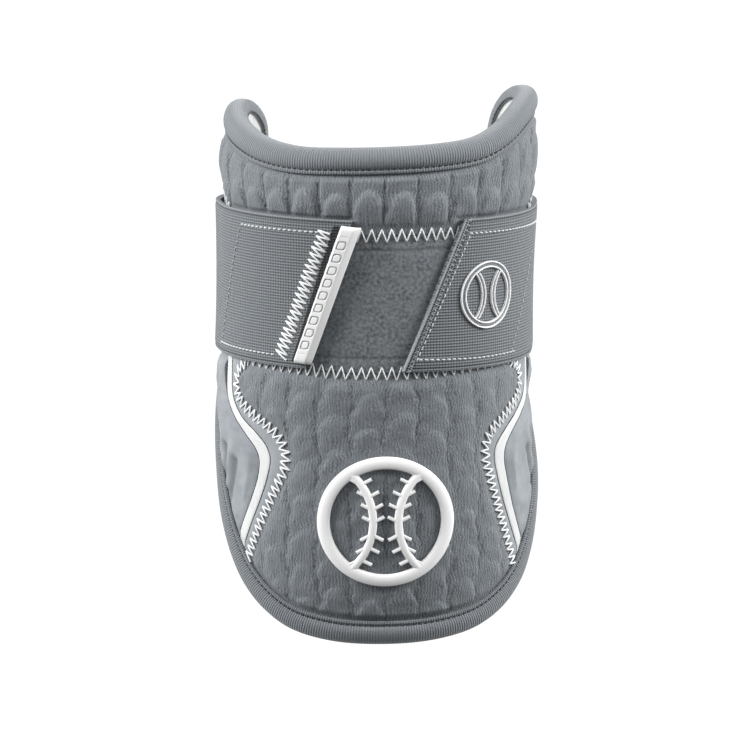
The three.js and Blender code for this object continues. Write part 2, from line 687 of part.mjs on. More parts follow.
// A plain ball motif: a ring joined to two curved seams.
function ball(name, at, radius, stroke, inside, thick, place, material) {
  const inner = radius - stroke;
  const bend = radius * 1.02;
  const reach = radius * 1.2;
  const wide = stroke * 0.62;
  const shape = new THREE.Shape();
  for (let i = 0; i <= 48; i += 1) {
    const a = (i / 48) * 2 * Math.PI;
    const go = i === 0 ? "moveTo" : "lineTo";
    shape[go](radius * Math.cos(a), radius * Math.sin(a));
  }
  const seamX = (y, off) => reach - Math.sqrt((bend + off) ** 2 - y * y);
  const crossing = (off) => {
    let y = 0;
    while (Math.hypot(seamX(y, off), y) < inner && y < inner) y += 0.01;
    return y;
  };
  const hole = (sign) => {
    const path = new THREE.Path();
    const top = crossing(-wide / 2);
    const start = Math.atan2(top, seamX(top, -wide / 2));
    const spots = [];
    for (let i = 0; i <= 9; i += 1) {
      const a = lerp(-start, start, i / 9);
      spots.push([inner * Math.cos(a), inner * Math.sin(a)]);
    }
    for (let i = 1; i < 8; i += 1) {
      const y = lerp(top, -top, i / 8);
      spots.push([seamX(y, -wide / 2), y]);
    }
    spots.forEach(([x, y], i) => path[i ? "lineTo" : "moveTo"](sign * x, y));
    path.closePath();
    return path;
  };
  const middle = new THREE.Path();
  const top = crossing(wide / 2);
  const start = Math.atan2(top, seamX(top, wide / 2));
  const spots = [];
  for (let i = 0; i <= 8; i += 1) {
    const a = lerp(start, Math.PI - start, i / 8);
    spots.push([inner * Math.cos(a), inner * Math.sin(a)]);
  }
  for (let i = 1; i < 10; i += 1) {
    const y = lerp(top, -top, i / 10);
    spots.push([-seamX(y, wide / 2), y]);
  }
  for (let i = 0; i <= 8; i += 1) {
    const a = lerp(Math.PI + start, 2 * Math.PI - start, i / 8);
    spots.push([inner * Math.cos(a), inner * Math.sin(a)]);
  }
  for (let i = 1; i < 10; i += 1) {
    const y = lerp(-top, top, i / 10);
    spots.push([seamX(y, wide / 2), y]);
  }
  spots.forEach(([x, y], i) => middle[i ? "lineTo" : "moveTo"](x, y));
  middle.closePath();
  shape.holes.push(hole(1), hole(-1), middle);
  const drawn = new THREE.ShapeGeometry(shape, 1);
  const spot = drawn.getAttribute("position");
  const flat = { spots: [], cells: [] };
  for (let i = 0; i < spot.count; i += 1) {
    flat.spots.push({ angle: at.angle + spot.getX(i), height: at.height * HALF_LENGTH + spot.getY(i) });
  }
  const index = drawn.getIndex().array;
  for (let i = 0; i < index.length; i += 3) flat.cells.push([index[i], index[i + 1], index[i + 2]]);
  refine(flat, 9);
  return sheet(name, flat, () => inside + thick, () => inside, place, material);
}

group.add(ball("front_emblem", BADGE_AT, BADGE_RADIUS, BADGE_STROKE, PAD_OUT + 0.35, BADGE_THICK, shellPoint, MOULDED));
group.add(ball("strap_emblem", PATCH_AT, PATCH_RADIUS, PATCH_STROKE, TAB_IN, PATCH_THICK, strapPoint, MOULDED));

export default group;
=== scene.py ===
"""Baseball elbow guard: the visual model, in the frame of the CAD solids (metres, +Y to the neck)."""
from math import cos, pi, radians, sin

import bpy
import numpy as np
from mathutils import Matrix, Vector


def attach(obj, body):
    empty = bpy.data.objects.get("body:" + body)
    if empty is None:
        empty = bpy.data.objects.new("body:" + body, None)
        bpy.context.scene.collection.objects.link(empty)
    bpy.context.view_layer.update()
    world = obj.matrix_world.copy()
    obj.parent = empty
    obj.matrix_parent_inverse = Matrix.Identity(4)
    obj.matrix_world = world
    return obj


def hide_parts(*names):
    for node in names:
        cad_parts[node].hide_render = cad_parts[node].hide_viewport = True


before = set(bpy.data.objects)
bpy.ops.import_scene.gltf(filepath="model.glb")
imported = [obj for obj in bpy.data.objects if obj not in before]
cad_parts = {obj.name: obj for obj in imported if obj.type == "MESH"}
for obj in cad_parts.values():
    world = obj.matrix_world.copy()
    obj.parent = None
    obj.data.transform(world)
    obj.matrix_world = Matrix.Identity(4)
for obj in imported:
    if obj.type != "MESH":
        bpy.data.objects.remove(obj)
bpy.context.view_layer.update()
METRE = 1000         # mm
UV_UNIT = 100        # mm of pattern for each unit of UV

# Sizes in mm, the same as the solids' own.
HALF_LENGTH = 100.0
HALF_WIDTH = 57.0
FRONT_DEPTH = 51.5
AXIS_HEIGHT = 39.0
CENTRE = (0.04, 3.1)
FOOT_CURL = 7.0
NECK_CURL = 2.0

LINING_OUT = -3.15
LINING_THICK = 1.25
PAD_THICK = 3.3
PAD_OUT = 2.2
SEAM_OUT = 1.1
BAND_OUT = 1.4
SIDE_OUT = 2.0
TRIM_OUT = 1.5
PRESSED_OUT = 0.7
SEAM_GAP = 0.3

BINDING_WIDTH = 9.4
STRAP_WIDTH = 55.8
STRAP_FOOT = 6.0
STRAP_HEAD = STRAP_FOOT + STRAP_WIDTH
STRAP_THICK = 1.9
STRAP_IN = 1.9
STRAP_OUT = STRAP_IN + STRAP_THICK
STRAP_LIFT = 1.7
STRAP_TURN = 0.75
FLOOR_BLEND = 2.5
TAB_IN = STRAP_OUT + 0.3
TAB_THICK = 3.0
DEEP = 3.2           # how far the panels run in under the binding from the rim
LINING_DEEP = 3.1
GAP = SEAM_GAP / 2

# The knitted beads: width of a column, and height of a row above and below the strap.
BEAD_PITCH = 12.1
BEAD_ROW = {"upper": 14.5, "lower": 13.0}

# Cloth that fills the pads: its settings, frames, and how far the face may sink or rise in mm.
CLOTH = {
    "quality": 6, "mass": 0.1, "tension_stiffness": 12, "compression_stiffness": 6, "shear_stiffness": 4,
    "bending_stiffness": 0.3, "shrink_min": -0.06, "use_pressure": True, "uniform_pressure_force": 4,
    "vertex_group_mass": "sewn"}
CLOTH_FRAMES = 20
PUFF = (-0.5, 1.4)
PUFF_SHARE = {"knit": 0.35, "side": 0.7}   # how much of the cloth's rise each kind of pad shows

# The photo's view: raised and turned in degrees, mm for each pixel, picture width, distance in mm, the height it
# looks at, and how far the object stands off the picture's middle in pixels.
VIEW = {"raised": 9.8, "turned": 3.4, "scale": 0.375, "pixels": 750, "away": 2000.0, "height": 45.0,
        "off": (1.5, 9)}
WHITE_LIGHT = (1, 1, 1, 1)

# Height, left and right half width of the section, as shares of the sizes above.
SECTION = np.array([
    (-1.0, 1.008, 1.008), (-0.6, 1.008, 1.018), (-0.4, 1.0, 1.016), (-0.12, 1.005, 0.978), (0.08, 0.974, 0.967),
    (0.35, 0.962, 0.97), (0.63, 0.968, 0.996), (0.75, 0.982, 1.01), (0.85, 0.955, 1.01), (1.0, 0.922, 1.004)])

# The rim by angle round the arm and height share, from the neck round by the left side.
RIM = [
    (0, 0.883), (-17, 0.879), (-34, 0.877), (-50, 0.892), (-69, 0.93), (-86, 0.966), (-99, 0.987), (-110, 0.985),
    (-120, 0.953), (-127.5, 0.895), (-131, 0.81), (-131.5, 0.68), (-129, 0.5), (-124, 0.3), (-117, 0.1),
    (-109, -0.08), (-101, -0.23), (-92, -0.385), (-81.6, -0.53), (-75.2, -0.613), (-68.5, -0.695), (-61, -0.775),
    (-49, -0.867), (-36, -0.933), (-19, -0.971), (0, -0.981), (19, -0.972), (37, -0.938), (50, -0.883),
    (62, -0.805), (70, -0.73), (77, -0.645), (84, -0.54), (92, -0.405), (101, -0.24), (109, -0.08), (116, 0.1),
    (121, 0.3), (124.5, 0.5), (126.5, 0.7), (126, 0.83), (122, 0.93), (114, 1.0), (104, 1.035), (92, 1.043),
    (80, 1.035), (65, 1.0), (50, 0.942), (37, 0.905), (20, 0.89)]

# Seams from the strap down to the rim: the lower front panel's sides and the white trims' edges.
SEAMS = {
    ("left", "front"): [
        (-60, 0.05), (-64.6, 0.022), (-66.4, -0.025), (-63.6, -0.078), (-57.2, -0.117), (-48, -0.158),
        (-40.8, -0.203), (-37.8, -0.256), (-37.6, -0.308), (-40.7, -0.375), (-44.8, -0.445), (-49.3, -0.532),
        (-53.9, -0.63), (-58, -0.725), (-63, -0.84)],
    ("right", "front"): [
        (60, 0.05), (65.4, 0.022), (68, -0.027), (65.2, -0.078), (58.6, -0.117), (49.6, -0.165),
        (43.4, -0.207), (41, -0.252), (41.1, -0.305), (43.2, -0.378), (45.7, -0.455), (49, -0.538),
        (52.8, -0.622), (57.5, -0.72), (63, -0.84)],
    ("left", "inner"): [
        (-73.4, 0.16), (-72.8, 0.08), (-71.5, 0.0), (-68.6, -0.081), (-61.7, -0.147), (-52.3, -0.2),
        (-46.8, -0.245), (-45, -0.29), (-46.3, -0.352), (-50.4, -0.452), (-54.9, -0.542), (-59.4, -0.632),
        (-66, -0.76)],
    ("right", "inner"): [
        (77.6, 0.16), (78.1, 0.06), (77.6, -0.02), (73.8, -0.084), (62.9, -0.147), (53.2, -0.202),
        (47.4, -0.252), (46, -0.294), (47.1, -0.363), (50.3, -0.463), (54.3, -0.547), (59, -0.633),
        (66, -0.76)],
    ("left", "outer"): [
        (-78.4, 0.16), (-77.9, 0.08), (-76.7, 0.0), (-73.6, -0.09), (-67.6, -0.15), (-58, -0.217),
        (-52.4, -0.262), (-50.6, -0.3), (-51.4, -0.36), (-55.6, -0.459), (-60.2, -0.545), (-64.6, -0.632),
        (-70, -0.74)],
    ("right", "outer"): [
        (82.6, 0.16), (83.2, 0.06), (82.8, -0.02), (79.4, -0.1), (68.2, -0.16), (58.2, -0.215),
        (53, -0.265), (51.7, -0.305), (52.6, -0.371), (55.6, -0.471), (59.6, -0.555), (64.2, -0.635),
        (70, -0.74)]}

TAB_CORNERS = {"foot": ((-33, 9.0), (-26.2, 8.4)), "head": ((-15.2, 60.3), (-8.2, 59.6))}
STRAP_ENDS = {"right": (6.4, 29.8), "left": (-30, -11.5)}   # angles at the strap's foot and head
BADGE = {"at": (0.5, -50.0), "radius": 24.5, "stroke": 4.6, "thick": 1.9}
PATCH = {"at": (41.0, 32.5), "radius": 12.5, "stroke": 2.2, "thick": 0.7}


# ---- pattern and wrap ----

def smooth(a, b, x):
    """0 below a, 1 above b, and smooth between."""
    k = np.clip((np.asarray(x, float) - a) / (b - a), 0, 1)
    return k * k * (3 - 2 * k)


def hermite(k, step, start, end, run_in, run_out):
    """Cubic between two points with given runs at them."""
    return ((2 * k**3 - 3 * k**2 + 1) * start + (k**3 - 2 * k**2 + k) * step * run_in
            + (3 * k**2 - 2 * k**3) * end + (k**3 - k**2) * step * run_out)


def half_width(height, right):
    """Half width of the section at a height, smooth through the table."""
    h = np.clip(np.asarray(height, float) / HALF_LENGTH, SECTION[0, 0], SECTION[-1, 0] - 1e-9)
    i = np.clip(np.searchsorted(SECTION[:, 0], h, side="right") - 1, 0, len(SECTION) - 2)
    before = np.maximum(i - 1, 0)
    after = np.minimum(i + 2, len(SECTION) - 1)
    column = np.where(right, 2, 1)
    x = SECTION[:, 0]
    y0, y1 = SECTION[i, column], SECTION[i + 1, column]
    step = x[i + 1] - x[i]
    k = (h - x[i]) / step
    m0 = (y1 - SECTION[before, column]) / (x[i + 1] - x[before])
    m1 = (SECTION[after, column] - y0) / (x[after] - x[i])
    return hermite(k, step, y0, y1, m0, m1) * HALF_WIDTH


def shell(angle, height, out):
    """Points in mm on the shell, a distance out of its own surface."""
    a = np.radians(np.asarray(angle, float))
    height = np.asarray(height, float)
    wide = half_width(height, np.sin(a) >= 0)
    foot = np.maximum(0, (-height - 0.4 * HALF_LENGTH) / (0.6 * HALF_LENGTH))
    neck = np.maximum(0, (height - 0.6 * HALF_LENGTH) / (0.37 * HALF_LENGTH))
    deep = FRONT_DEPTH - FOOT_CURL * foot**2 - NECK_CURL * neck**2
    nx, nz = np.sin(a) / wide, np.cos(a) / deep
    n = np.hypot(nx, nz)
    x = wide * np.sin(a) + out * nx / n
    z = AXIS_HEIGHT + deep * np.cos(a) + out * nz / n
    return np.stack([x - CENTRE[0], height - CENTRE[1] + 0 * x, z], -1)


def strap_turn(angle):
    """Rise of the strap: it runs slightly downhill from its left end to its right end."""
    signed = (np.asarray(angle, float) + 180) % 360 - 180
    return np.where(np.abs(signed) < 120, -STRAP_TURN * np.sin(np.radians(1.5 * signed)), 0)


def strap(angle, height, out):
    """Points in mm on the strap, which lies flat on the floor behind the arm."""
    angle = np.asarray(angle, float)
    middle = STRAP_IN + STRAP_THICK / 2

    def path(at):
        turn = np.abs((at + 180) % 360 - 180)
        p = shell(at, height, middle + STRAP_LIFT * smooth(84, 103, turn))
        over = p[..., 2] - STRAP_THICK / 2
        flat = STRAP_THICK / 2 + np.where(over > -FLOOR_BLEND, (over + FLOOR_BLEND)**2 / (4 * FLOOR_BLEND), 0)
        p[..., 2] = np.where((turn > 90) & (over < FLOOR_BLEND), flat, p[..., 2])
        return p

    here = path(angle)
    run = path(angle + 0.2) - path(angle - 0.2)
    d = np.hypot(run[..., 0], run[..., 2])
    off = np.asarray(out, float) - middle
    here[..., 0] -= run[..., 2] / d * off
    here[..., 2] += run[..., 0] / d * off
    return here


def on_strap(angle, height, out):
    """The same, from heights measured across the strap itself."""
    return strap(angle, height + strap_turn(angle), out)


def curve(points, count, closed=False):
    """Evenly spaced points of a smooth curve through table points (angle, height share)."""
    p = np.array([(a, h * HALF_LENGTH) for a, h in points], float)
    if closed:
        p = np.concatenate([p[-1:], p, p[:2]])
    else:
        p = np.concatenate([2 * p[:1] - p[1:2], p, 2 * p[-1:] - p[-2:-1]])
    dense = []
    for p0, p1, p2, p3 in zip(p, p[1:], p[2:], p[3:]):
        t0, t1, t2 = [np.linalg.norm(b - a)**0.5 for a, b in ((p0, p1), (p1, p2), (p2, p3))]
        m1 = (p1 - p0) / t0 - (p2 - p0) / (t0 + t1) + (p2 - p1) / t1
        m2 = (p2 - p1) / t1 - (p3 - p1) / (t1 + t2) + (p3 - p2) / t2
        k = np.linspace(0, 1, 60, endpoint=False)[:, None]
        dense.append(hermite(k, t1, p1, p2, m1, m2))
    dense.append(p[-2][None])
    return sample(np.concatenate(dense), count + 1)


def run_lengths(line, closed=False):
    """Running length at each point of a line, and back at the first where it is closed."""
    line = np.concatenate([line, line[:1]]) if closed else np.asarray(line, float)
    return np.concatenate([[0], np.cumsum(np.linalg.norm(np.diff(line, axis=0), axis=1))])


def sample(line, shares):
    """A line sampled again at shares of its length, or evenly at a number of points."""
    line = np.asarray(line, float)
    run = run_lengths(line)
    want = (np.linspace(0, 1, shares) if isinstance(shares, int) else np.asarray(shares)) * run[-1]
    return np.stack([np.interp(want, run, line[:, c]) for c in (0, 1)], -1)


RIM_COUNT = 1440
HALF = RIM_COUNT // 2
rim = curve(RIM, RIM_COUNT, True)[:-1]
rim_run = np.roll(rim, -8, 0) - np.roll(rim, 8, 0)
rim_run /= np.linalg.norm(rim_run, axis=1)[:, None]
rim_length = float(np.linalg.norm(np.diff(rim, axis=0, append=rim[:1]), axis=1).sum())


def rim_point(step, depth):
    """Point of the rim at a step along it, moved inward by a depth."""
    step = np.asarray(step, float) % RIM_COUNT
    i = np.floor(step).astype(int) % RIM_COUNT
    j = (i + 1) % RIM_COUNT
    k = (step - np.floor(step))[..., None]
    p = rim[i] * (1 - k) + rim[j] * k
    d = rim_run[i] * (1 - k) + rim_run[j] * k
    return p + np.stack([-d[..., 1], d[..., 0]], -1) * np.asarray(depth, float)[..., None]


def rim_line(start, end, count, depth=DEEP):
    return rim_point(np.linspace(start, end, count), depth)


def distance(points, line):
    """Distance of each pattern point to a line."""
    flat = points.reshape(-1, 2)
    near = np.full(len(flat), 1e9)
    a, b = np.asarray(line)[:-1], np.asarray(line)[1:]
    for start in range(0, len(flat), 2000):
        p = flat[start:start + 2000, None]
        ab = b - a
        k = np.clip(((p - a) * ab).sum(-1) / (ab * ab).sum(-1).clip(1e-12), 0, 1)
        near[start:start + 2000] = np.linalg.norm(p - a - k[..., None] * ab, axis=-1).min(1)
    return near.reshape(points.shape[:-1])


def rim_depth(points):
    return distance(points, np.concatenate([rim[::2], rim[:1]]))


def meet_rim(line, hand, depth=DEEP):
    """Step of the rim on one hand, and place on a line, where the line meets the rim's inner side."""
    steps = np.arange(HALF) + (0 if hand == "left" else HALF)
    gap = np.linalg.norm(rim_point(steps, depth)[:, None] - np.asarray(line)[None], axis=-1)
    i, j = np.unravel_index(gap.argmin(), gap.shape)
    return int(steps[i]), int(j)


def fill(foot, head, left, right, power=1):
    """A grid of pattern points between four border lines; a higher power keeps the bow of the ends near them."""
    u = np.linspace(0, 1, len(foot))[None, :, None]
    v = np.linspace(0, 1, len(left))[:, None, None]
    foot_bow = foot[None] - (foot[0] * (1 - u) + foot[-1] * u)
    head_bow = head[None] - (head[0] * (1 - u) + head[-1] * u)
    return left[:, None] * (1 - u) + right[:, None] * u + foot_bow * (1 - v)**power + head_bow * v**power


def pillow(d, low, high, reach):
    """Height of a padded edge that rises round from low to high over its reach."""
    k = np.clip(d / reach, 0, 1)
    return low + (high - low) * np.sqrt(1 - (1 - k)**2)


def band_foot(angle):
    turn = np.abs(angle)
    return HALF_LENGTH * (0.05 + 0.018 * smooth(10, 52, turn) + 0.062 * smooth(60, 72, turn))


def band_head(angle):
    return HALF_LENGTH * (0.56 + 0.12 * smooth(66, 90, np.abs(angle)))


def across(a, b, height, off, count):
    """Pattern points between two angles along a seam of the band."""
    angle = np.linspace(a, b, count)
    return np.stack([angle, height(angle) + off], -1)


def border(start, end, height, off, fine, count):
    """A border line from one pattern point to another along a seam of the band."""
    line = sample(across(start[0], end[0], height, off, fine), count)
    line[0], line[-1] = start, end
    return line


def sideways(line, closed=False):
    """Unit steps along a line, and the same turned to its left."""
    d = np.roll(line, -1, 0) - np.roll(line, 1, 0) if closed else np.gradient(line, axis=0)
    d /= np.linalg.norm(d, axis=1)[:, None]
    return d, np.stack([-d[:, 1], d[:, 0]], -1)


# ---- meshes ----

def read(data, key, width=1, kind=float):
    """One value, or a row of values, of each element of a mesh."""
    values = np.empty(len(data) * width, kind)
    data.foreach_get(key, values)
    return values


def active(o):
    bpy.ops.object.select_all(action="DESELECT")
    o.select_set(True)
    bpy.context.view_layer.objects.active = o


def set_places(o, places, pattern, relief=None):
    """Moves a primitive's vertices to places in mm, with the pattern's mm as its UVs."""
    mesh = o.data
    mesh.vertices.foreach_set("co", (np.asarray(places, float).reshape(-1, 3) / METRE).ravel())
    # The relief attribute holds painted shade for the materials: 1 where plain, lower in grooves and pressed
    # places; puffed also uses it to carry vertex numbers.
    if relief is not None:
        mesh.attributes.new("relief", "FLOAT", "POINT").data.foreach_set("value", np.ravel(relief).astype(float))
    uv = np.asarray(pattern, float).reshape(-1, 2)[read(mesh.loops, "vertex_index", kind=int)]
    mesh.uv_layers.active.data.foreach_set("uv", (uv / UV_UNIT).ravel())
    mesh.update()


def grid(name, pattern, out, place, thick, relief=None):
    """A sheet over a grid of pattern points, given its thickness."""
    rows, columns = pattern.shape[:2]
    bpy.ops.object.select_all(action="DESELECT")
    bpy.ops.mesh.primitive_grid_add(x_subdivisions=columns - 1, y_subdivisions=rows - 1, size=2)
    o = bpy.context.object
    o.name = o.data.name = name
    co = read(o.data.vertices, "co", 3).reshape(-1, 3)
    i = np.rint((co[:, 0] + 1) / 2 * (columns - 1)).astype(int)
    j = np.rint((co[:, 1] + 1) / 2 * (rows - 1)).astype(int)
    out = np.broadcast_to(out, pattern.shape[:2])
    places = place(pattern[j, i, 0], pattern[j, i, 1], out[j, i])
    set_places(o, places, pattern[j, i], relief=None if relief is None else relief[j, i])
    if thick:
        solid = o.modifiers.new("thickness", "SOLIDIFY")
        solid.thickness = thick / METRE
        solid.offset = -1
        active(o)
        bpy.ops.object.modifier_apply(modifier=solid.name)
    return o


def in_edit_mode(o, *steps):
    """Runs mesh operators on all of a piece, then turns its normals outward."""
    active(o)
    bpy.ops.object.mode_set(mode="EDIT")
    bpy.ops.mesh.select_all(action="SELECT")
    for step in steps:
        step()
    bpy.ops.mesh.select_all(action="SELECT")
    bpy.ops.mesh.normals_make_consistent(inside=False)
    bpy.ops.object.mode_set(mode="OBJECT")


def ring(name, stations, profile, place_of):
    """A closed loop with a closed profile, from a grid whose borders are merged."""
    j, i = np.divmod(np.arange((stations + 1) * (profile + 1)), stations + 1)
    places, pattern = place_of(i, j)
    shape = (profile + 1, stations + 1)
    lookup = places.reshape(*shape, 3)
    index = np.stack([i, j], -1).reshape(*shape, 2)
    o = grid(name, index, 0, lambda a, b, out: lookup[b.astype(int), a.astype(int)], 0)
    layer = o.data.uv_layers.active
    spots = np.rint(read(layer.data, "uv", 2).reshape(-1, 2) * UV_UNIT).astype(int)
    layer.data.foreach_set("uv", (pattern.reshape(*shape, 2)[spots[:, 1], spots[:, 0]] / UV_UNIT).ravel())
    in_edit_mode(o, lambda: bpy.ops.mesh.remove_doubles(threshold=1e-6))
    return o


def sew(name, runs, radius, sides, look):
    """Sewing thread: one round strand for each run of points in mm."""
    made = bpy.data.curves.new(name, "CURVE")
    made.dimensions = "3D"
    made.bevel_depth = radius / METRE
    made.bevel_resolution = max(0, (sides - 4) // 2)
    made.use_fill_caps = True
    for run in runs:
        spline = made.splines.new("POLY")
        spline.points.add(len(run) - 1)
        spline.points.foreach_set("co", np.insert(np.asarray(run) / METRE, 3, 1, axis=1).ravel())
    o = bpy.data.objects.new(name, made)
    bpy.context.collection.objects.link(o)
    active(o)
    bpy.ops.object.convert(target="MESH")
    o = bpy.context.object
    bpy.ops.object.shade_smooth()
    return finish(o, look, angle=80)


def join(name, objects):
    """Joins pieces into one that has the name."""
    active(objects[0])
    for o in objects:
        o.select_set(True)
    bpy.ops.object.join()
    o = bpy.context.object
    o.name = o.data.name = name
    return o


def finish(o, look, node=None, angle=50):
    """Gives a piece its material, shading and place in the object."""
    active(o)
    bpy.ops.object.shade_smooth_by_angle(angle=radians(angle))
    o.data.materials.clear()
    o.data.materials.append(look)
    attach(o, "root")
    if node:
        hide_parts(*([node] if isinstance(node, str) else node))
    return o


def pad(name, pattern, out, look, node, shade=None, thick=PAD_THICK):
    """A padded panel of the shell."""
    return finish(grid(name, pattern, out, shell, thick, shade), look, node)


# ---- materials ----

def linear(code):
    """A colour's hex code as linear RGBA."""
    rgb = [int(code[i:i + 2], 16) / 255 for i in (1, 3, 5)]
    return [c / 12.92 if c <= 0.04045 else ((c + 0.055) / 1.055)**2.4 for c in rgb] + [1.0]


def add(tree, kind, sockets=None, **settings):
    """Adds a node with its settings, and values or links for its sockets."""
    node = tree.nodes.new("ShaderNode" + kind)
    for key, value in settings.items():
        setattr(node, key, value)
    for key, value in (sockets or {}).items():
        if isinstance(value, bpy.types.NodeSocket):
            tree.links.new(value, node.inputs[key])
        else:
            node.inputs[key].default_value = value
    return node


def material(name, roughness, sheen=0.0):
    made = bpy.data.materials.new(name)
    made.use_nodes = True
    shader = made.node_tree.nodes["Principled BSDF"]
    shader.inputs["Roughness"].default_value = roughness
    shader.inputs["Sheen Weight"].default_value = sheen
    shader.inputs["Sheen Roughness"].default_value = 0.5
    return made, made.node_tree


def calc(tree, operation, a, b=0.0, c=0.0):
    return add(tree, "Math", {0: a, 1: b, 2: c}, operation=operation).outputs[0]


def scaled(tree, a, share, more):
    """A value times a share, plus more."""
    return calc(tree, "MULTIPLY_ADD", a, share, more)


def pattern_mm(tree):
    """UVs, and the place across and along the cloth in mm."""
    uv = add(tree, "UVMap").outputs["UV"]
    split = add(tree, "SeparateXYZ", {0: uv})
    return uv, *(calc(tree, "MULTIPLY", split.outputs[i], UV_UNIT) for i in (0, 1))


def sine(tree, length, pitch):
    """Sine lines a pitch apart along a length in mm, -1 to 1."""
    return calc(tree, "SINE", calc(tree, "MULTIPLY", length, 2 * pi / pitch))


def noise(tree, vector, scale, detail=2.0):
    return add(tree, "TexNoise", {"Vector": vector, "Scale": scale, "Detail": detail}).outputs["Fac"]


def span(tree, value, low, high, to_low=0.0, to_high=1.0):
    """Maps one range of a value to another, and stops at its ends."""
    return add(tree, "MapRange", {
        "Value": value, "From Min": low, "From Max": high, "To Min": to_low, "To Max": to_high}).outputs[0]


def mix(tree, share, low, high):
    """Mixes two colours, each given as a hex code or as a socket."""
    low, high = [linear(c) if isinstance(c, str) else c for c in (low, high)]
    return add(tree, "Mix", {0: share, 6: low, 7: high}, data_type="RGBA").outputs[2]


# Reads the painted shade that the relief attribute holds.
def relief_of(tree):
    return add(tree, "Attribute", attribute_name="relief").outputs["Fac"]


def pressed_in(tree, body, share, colour):
    """The body's colour, with a share of a painted shade colour where the relief attribute marks a pressed-in
    place.
    """
    return mix(tree, span(tree, relief_of(tree), 0.0, 1.0, share, 0.0), body, colour)


def dress(made, colour, *bumps):
    """Links a material's colour, and its bumps (height, strength, distance in mm) one over another."""
    tree = made.node_tree
    shader = tree.nodes["Principled BSDF"]
    tree.links.new(colour, shader.inputs["Base Color"])
    normal = None
    for height, strength, distance_mm in bumps:
        sockets = {"Height": height, "Strength": strength, "Distance": distance_mm / METRE}
        if normal:
            sockets["Normal"] = normal
        normal = add(tree, "Bump", sockets).outputs["Normal"]
    tree.links.new(normal, shader.inputs["Normal"])
    return made


def bead_knit(name, low, high, groove):
    """Polyester spacer knit in raised padded beads: matt, with leaning stitches, and painted shade in the broken
    grooves and just above the bead tops.
    """
    made, tree = material(name, 0.85, 0.12)
    uv, across_mm, along_mm = pattern_mm(tree)
    lean = sine(tree, scaled(tree, noise(tree, uv, 30.0), 9.0, along_mm), 2.4)
    along_mm = scaled(tree, noise(tree, uv, 34.0), 8.0, along_mm)
    bent = scaled(tree, lean, 0.2, scaled(tree, noise(tree, uv, 13.0), 4.5, across_mm))
    wales = sine(tree, bent, 1.2)
    strokes = sine(tree, scaled(tree, wales, 0.32, along_mm), 1.2)
    stitches = calc(tree, "MULTIPLY", wales, scaled(tree, strokes, 0.42, 0.58))
    relief = relief_of(tree)
    patchy = noise(tree, uv, 22.0)
    strong = calc(tree, "ADD", span(tree, relief, 0.1, 0.85, 0.7, 0.18), span(tree, patchy, 0.4, 0.6, 0.0, 0.3))
    body = mix(tree, scaled(tree, stitches, strong, 0.5), low, high)
    # Painted shade: the groove colour darkens the cloth where the relief attribute is low.
    dark = calc(tree, "MULTIPLY", span(tree, relief, 0.0, 0.55, 1.0, 0.0), scaled(tree, strokes, 0.3, 0.6))
    return dress(made, mix(tree, dark, body, groove), (stitches, 0.4, 0.2))


def loop_cloth():
    """Brushed nylon loop cloth: a fuzzy, mottled nap that the hooks hold, with two pressed lines darkened by
    painted shade.
    """
    made, tree = material("brushed nylon loop cloth", 0.95, 0.25)
    uv, _, _ = pattern_mm(tree)
    nap = noise(tree, uv, 75.0, 6.0)
    fuzz = noise(tree, uv, 300.0, 3.0)
    patchy = noise(tree, uv, 11.0, 3.0)
    body = mix(tree, span(tree, nap, 0.32, 0.68), "#3a4044", "#7a7f83")
    body = mix(tree, span(tree, patchy, 0.35, 0.68, 0.0, 0.55), body, "#767b7f")
    # Painted shade: the pressed lines take a darker colour.
    body = pressed_in(tree, body, 0.35, "#474b4e")
    return dress(made, body, (nap, 0.7, 0.5), (fuzz, 0.6, 0.25))


def plain_knit(name, low, high, roughness, pressed=None):
    """Fine warp-knit face cloth: smooth and even, with a faint thread grain, and painted shade in pressed lines
    where a shade colour is given.
    """
    made, tree = material(name, roughness, 0.15)
    uv, across_mm, _ = pattern_mm(tree)
    grain = sine(tree, across_mm, 0.75)
    tone = noise(tree, uv, 9.0, 5.0)
    body = mix(tree, span(tree, tone, 0.3, 0.7), low, high)
    if pressed:
        body = pressed_in(tree, body, 0.6, pressed)
    return dress(made, body, (grain, 0.3, 0.08))


def tape(low, high):
    """Woven elastic tape: cords across the fold make fine ribs that fade in places."""
    made, tree = material("woven elastic tape", 0.75, 0.2)
    uv, run, across_mm = pattern_mm(tree)
    ribs = sine(tree, scaled(tree, noise(tree, uv, 30.0), 0.5, run), 1.0)
    fine = sine(tree, across_mm, 0.8)
    fade = span(tree, noise(tree, uv, 12.0), 0.35, 0.65, 0.14, 0.42)
    body = mix(tree, scaled(tree, ribs, fade, 0.5), low, high)
    return dress(made, body, (ribs, 0.55, 0.22), (fine, 0.2, 0.1))


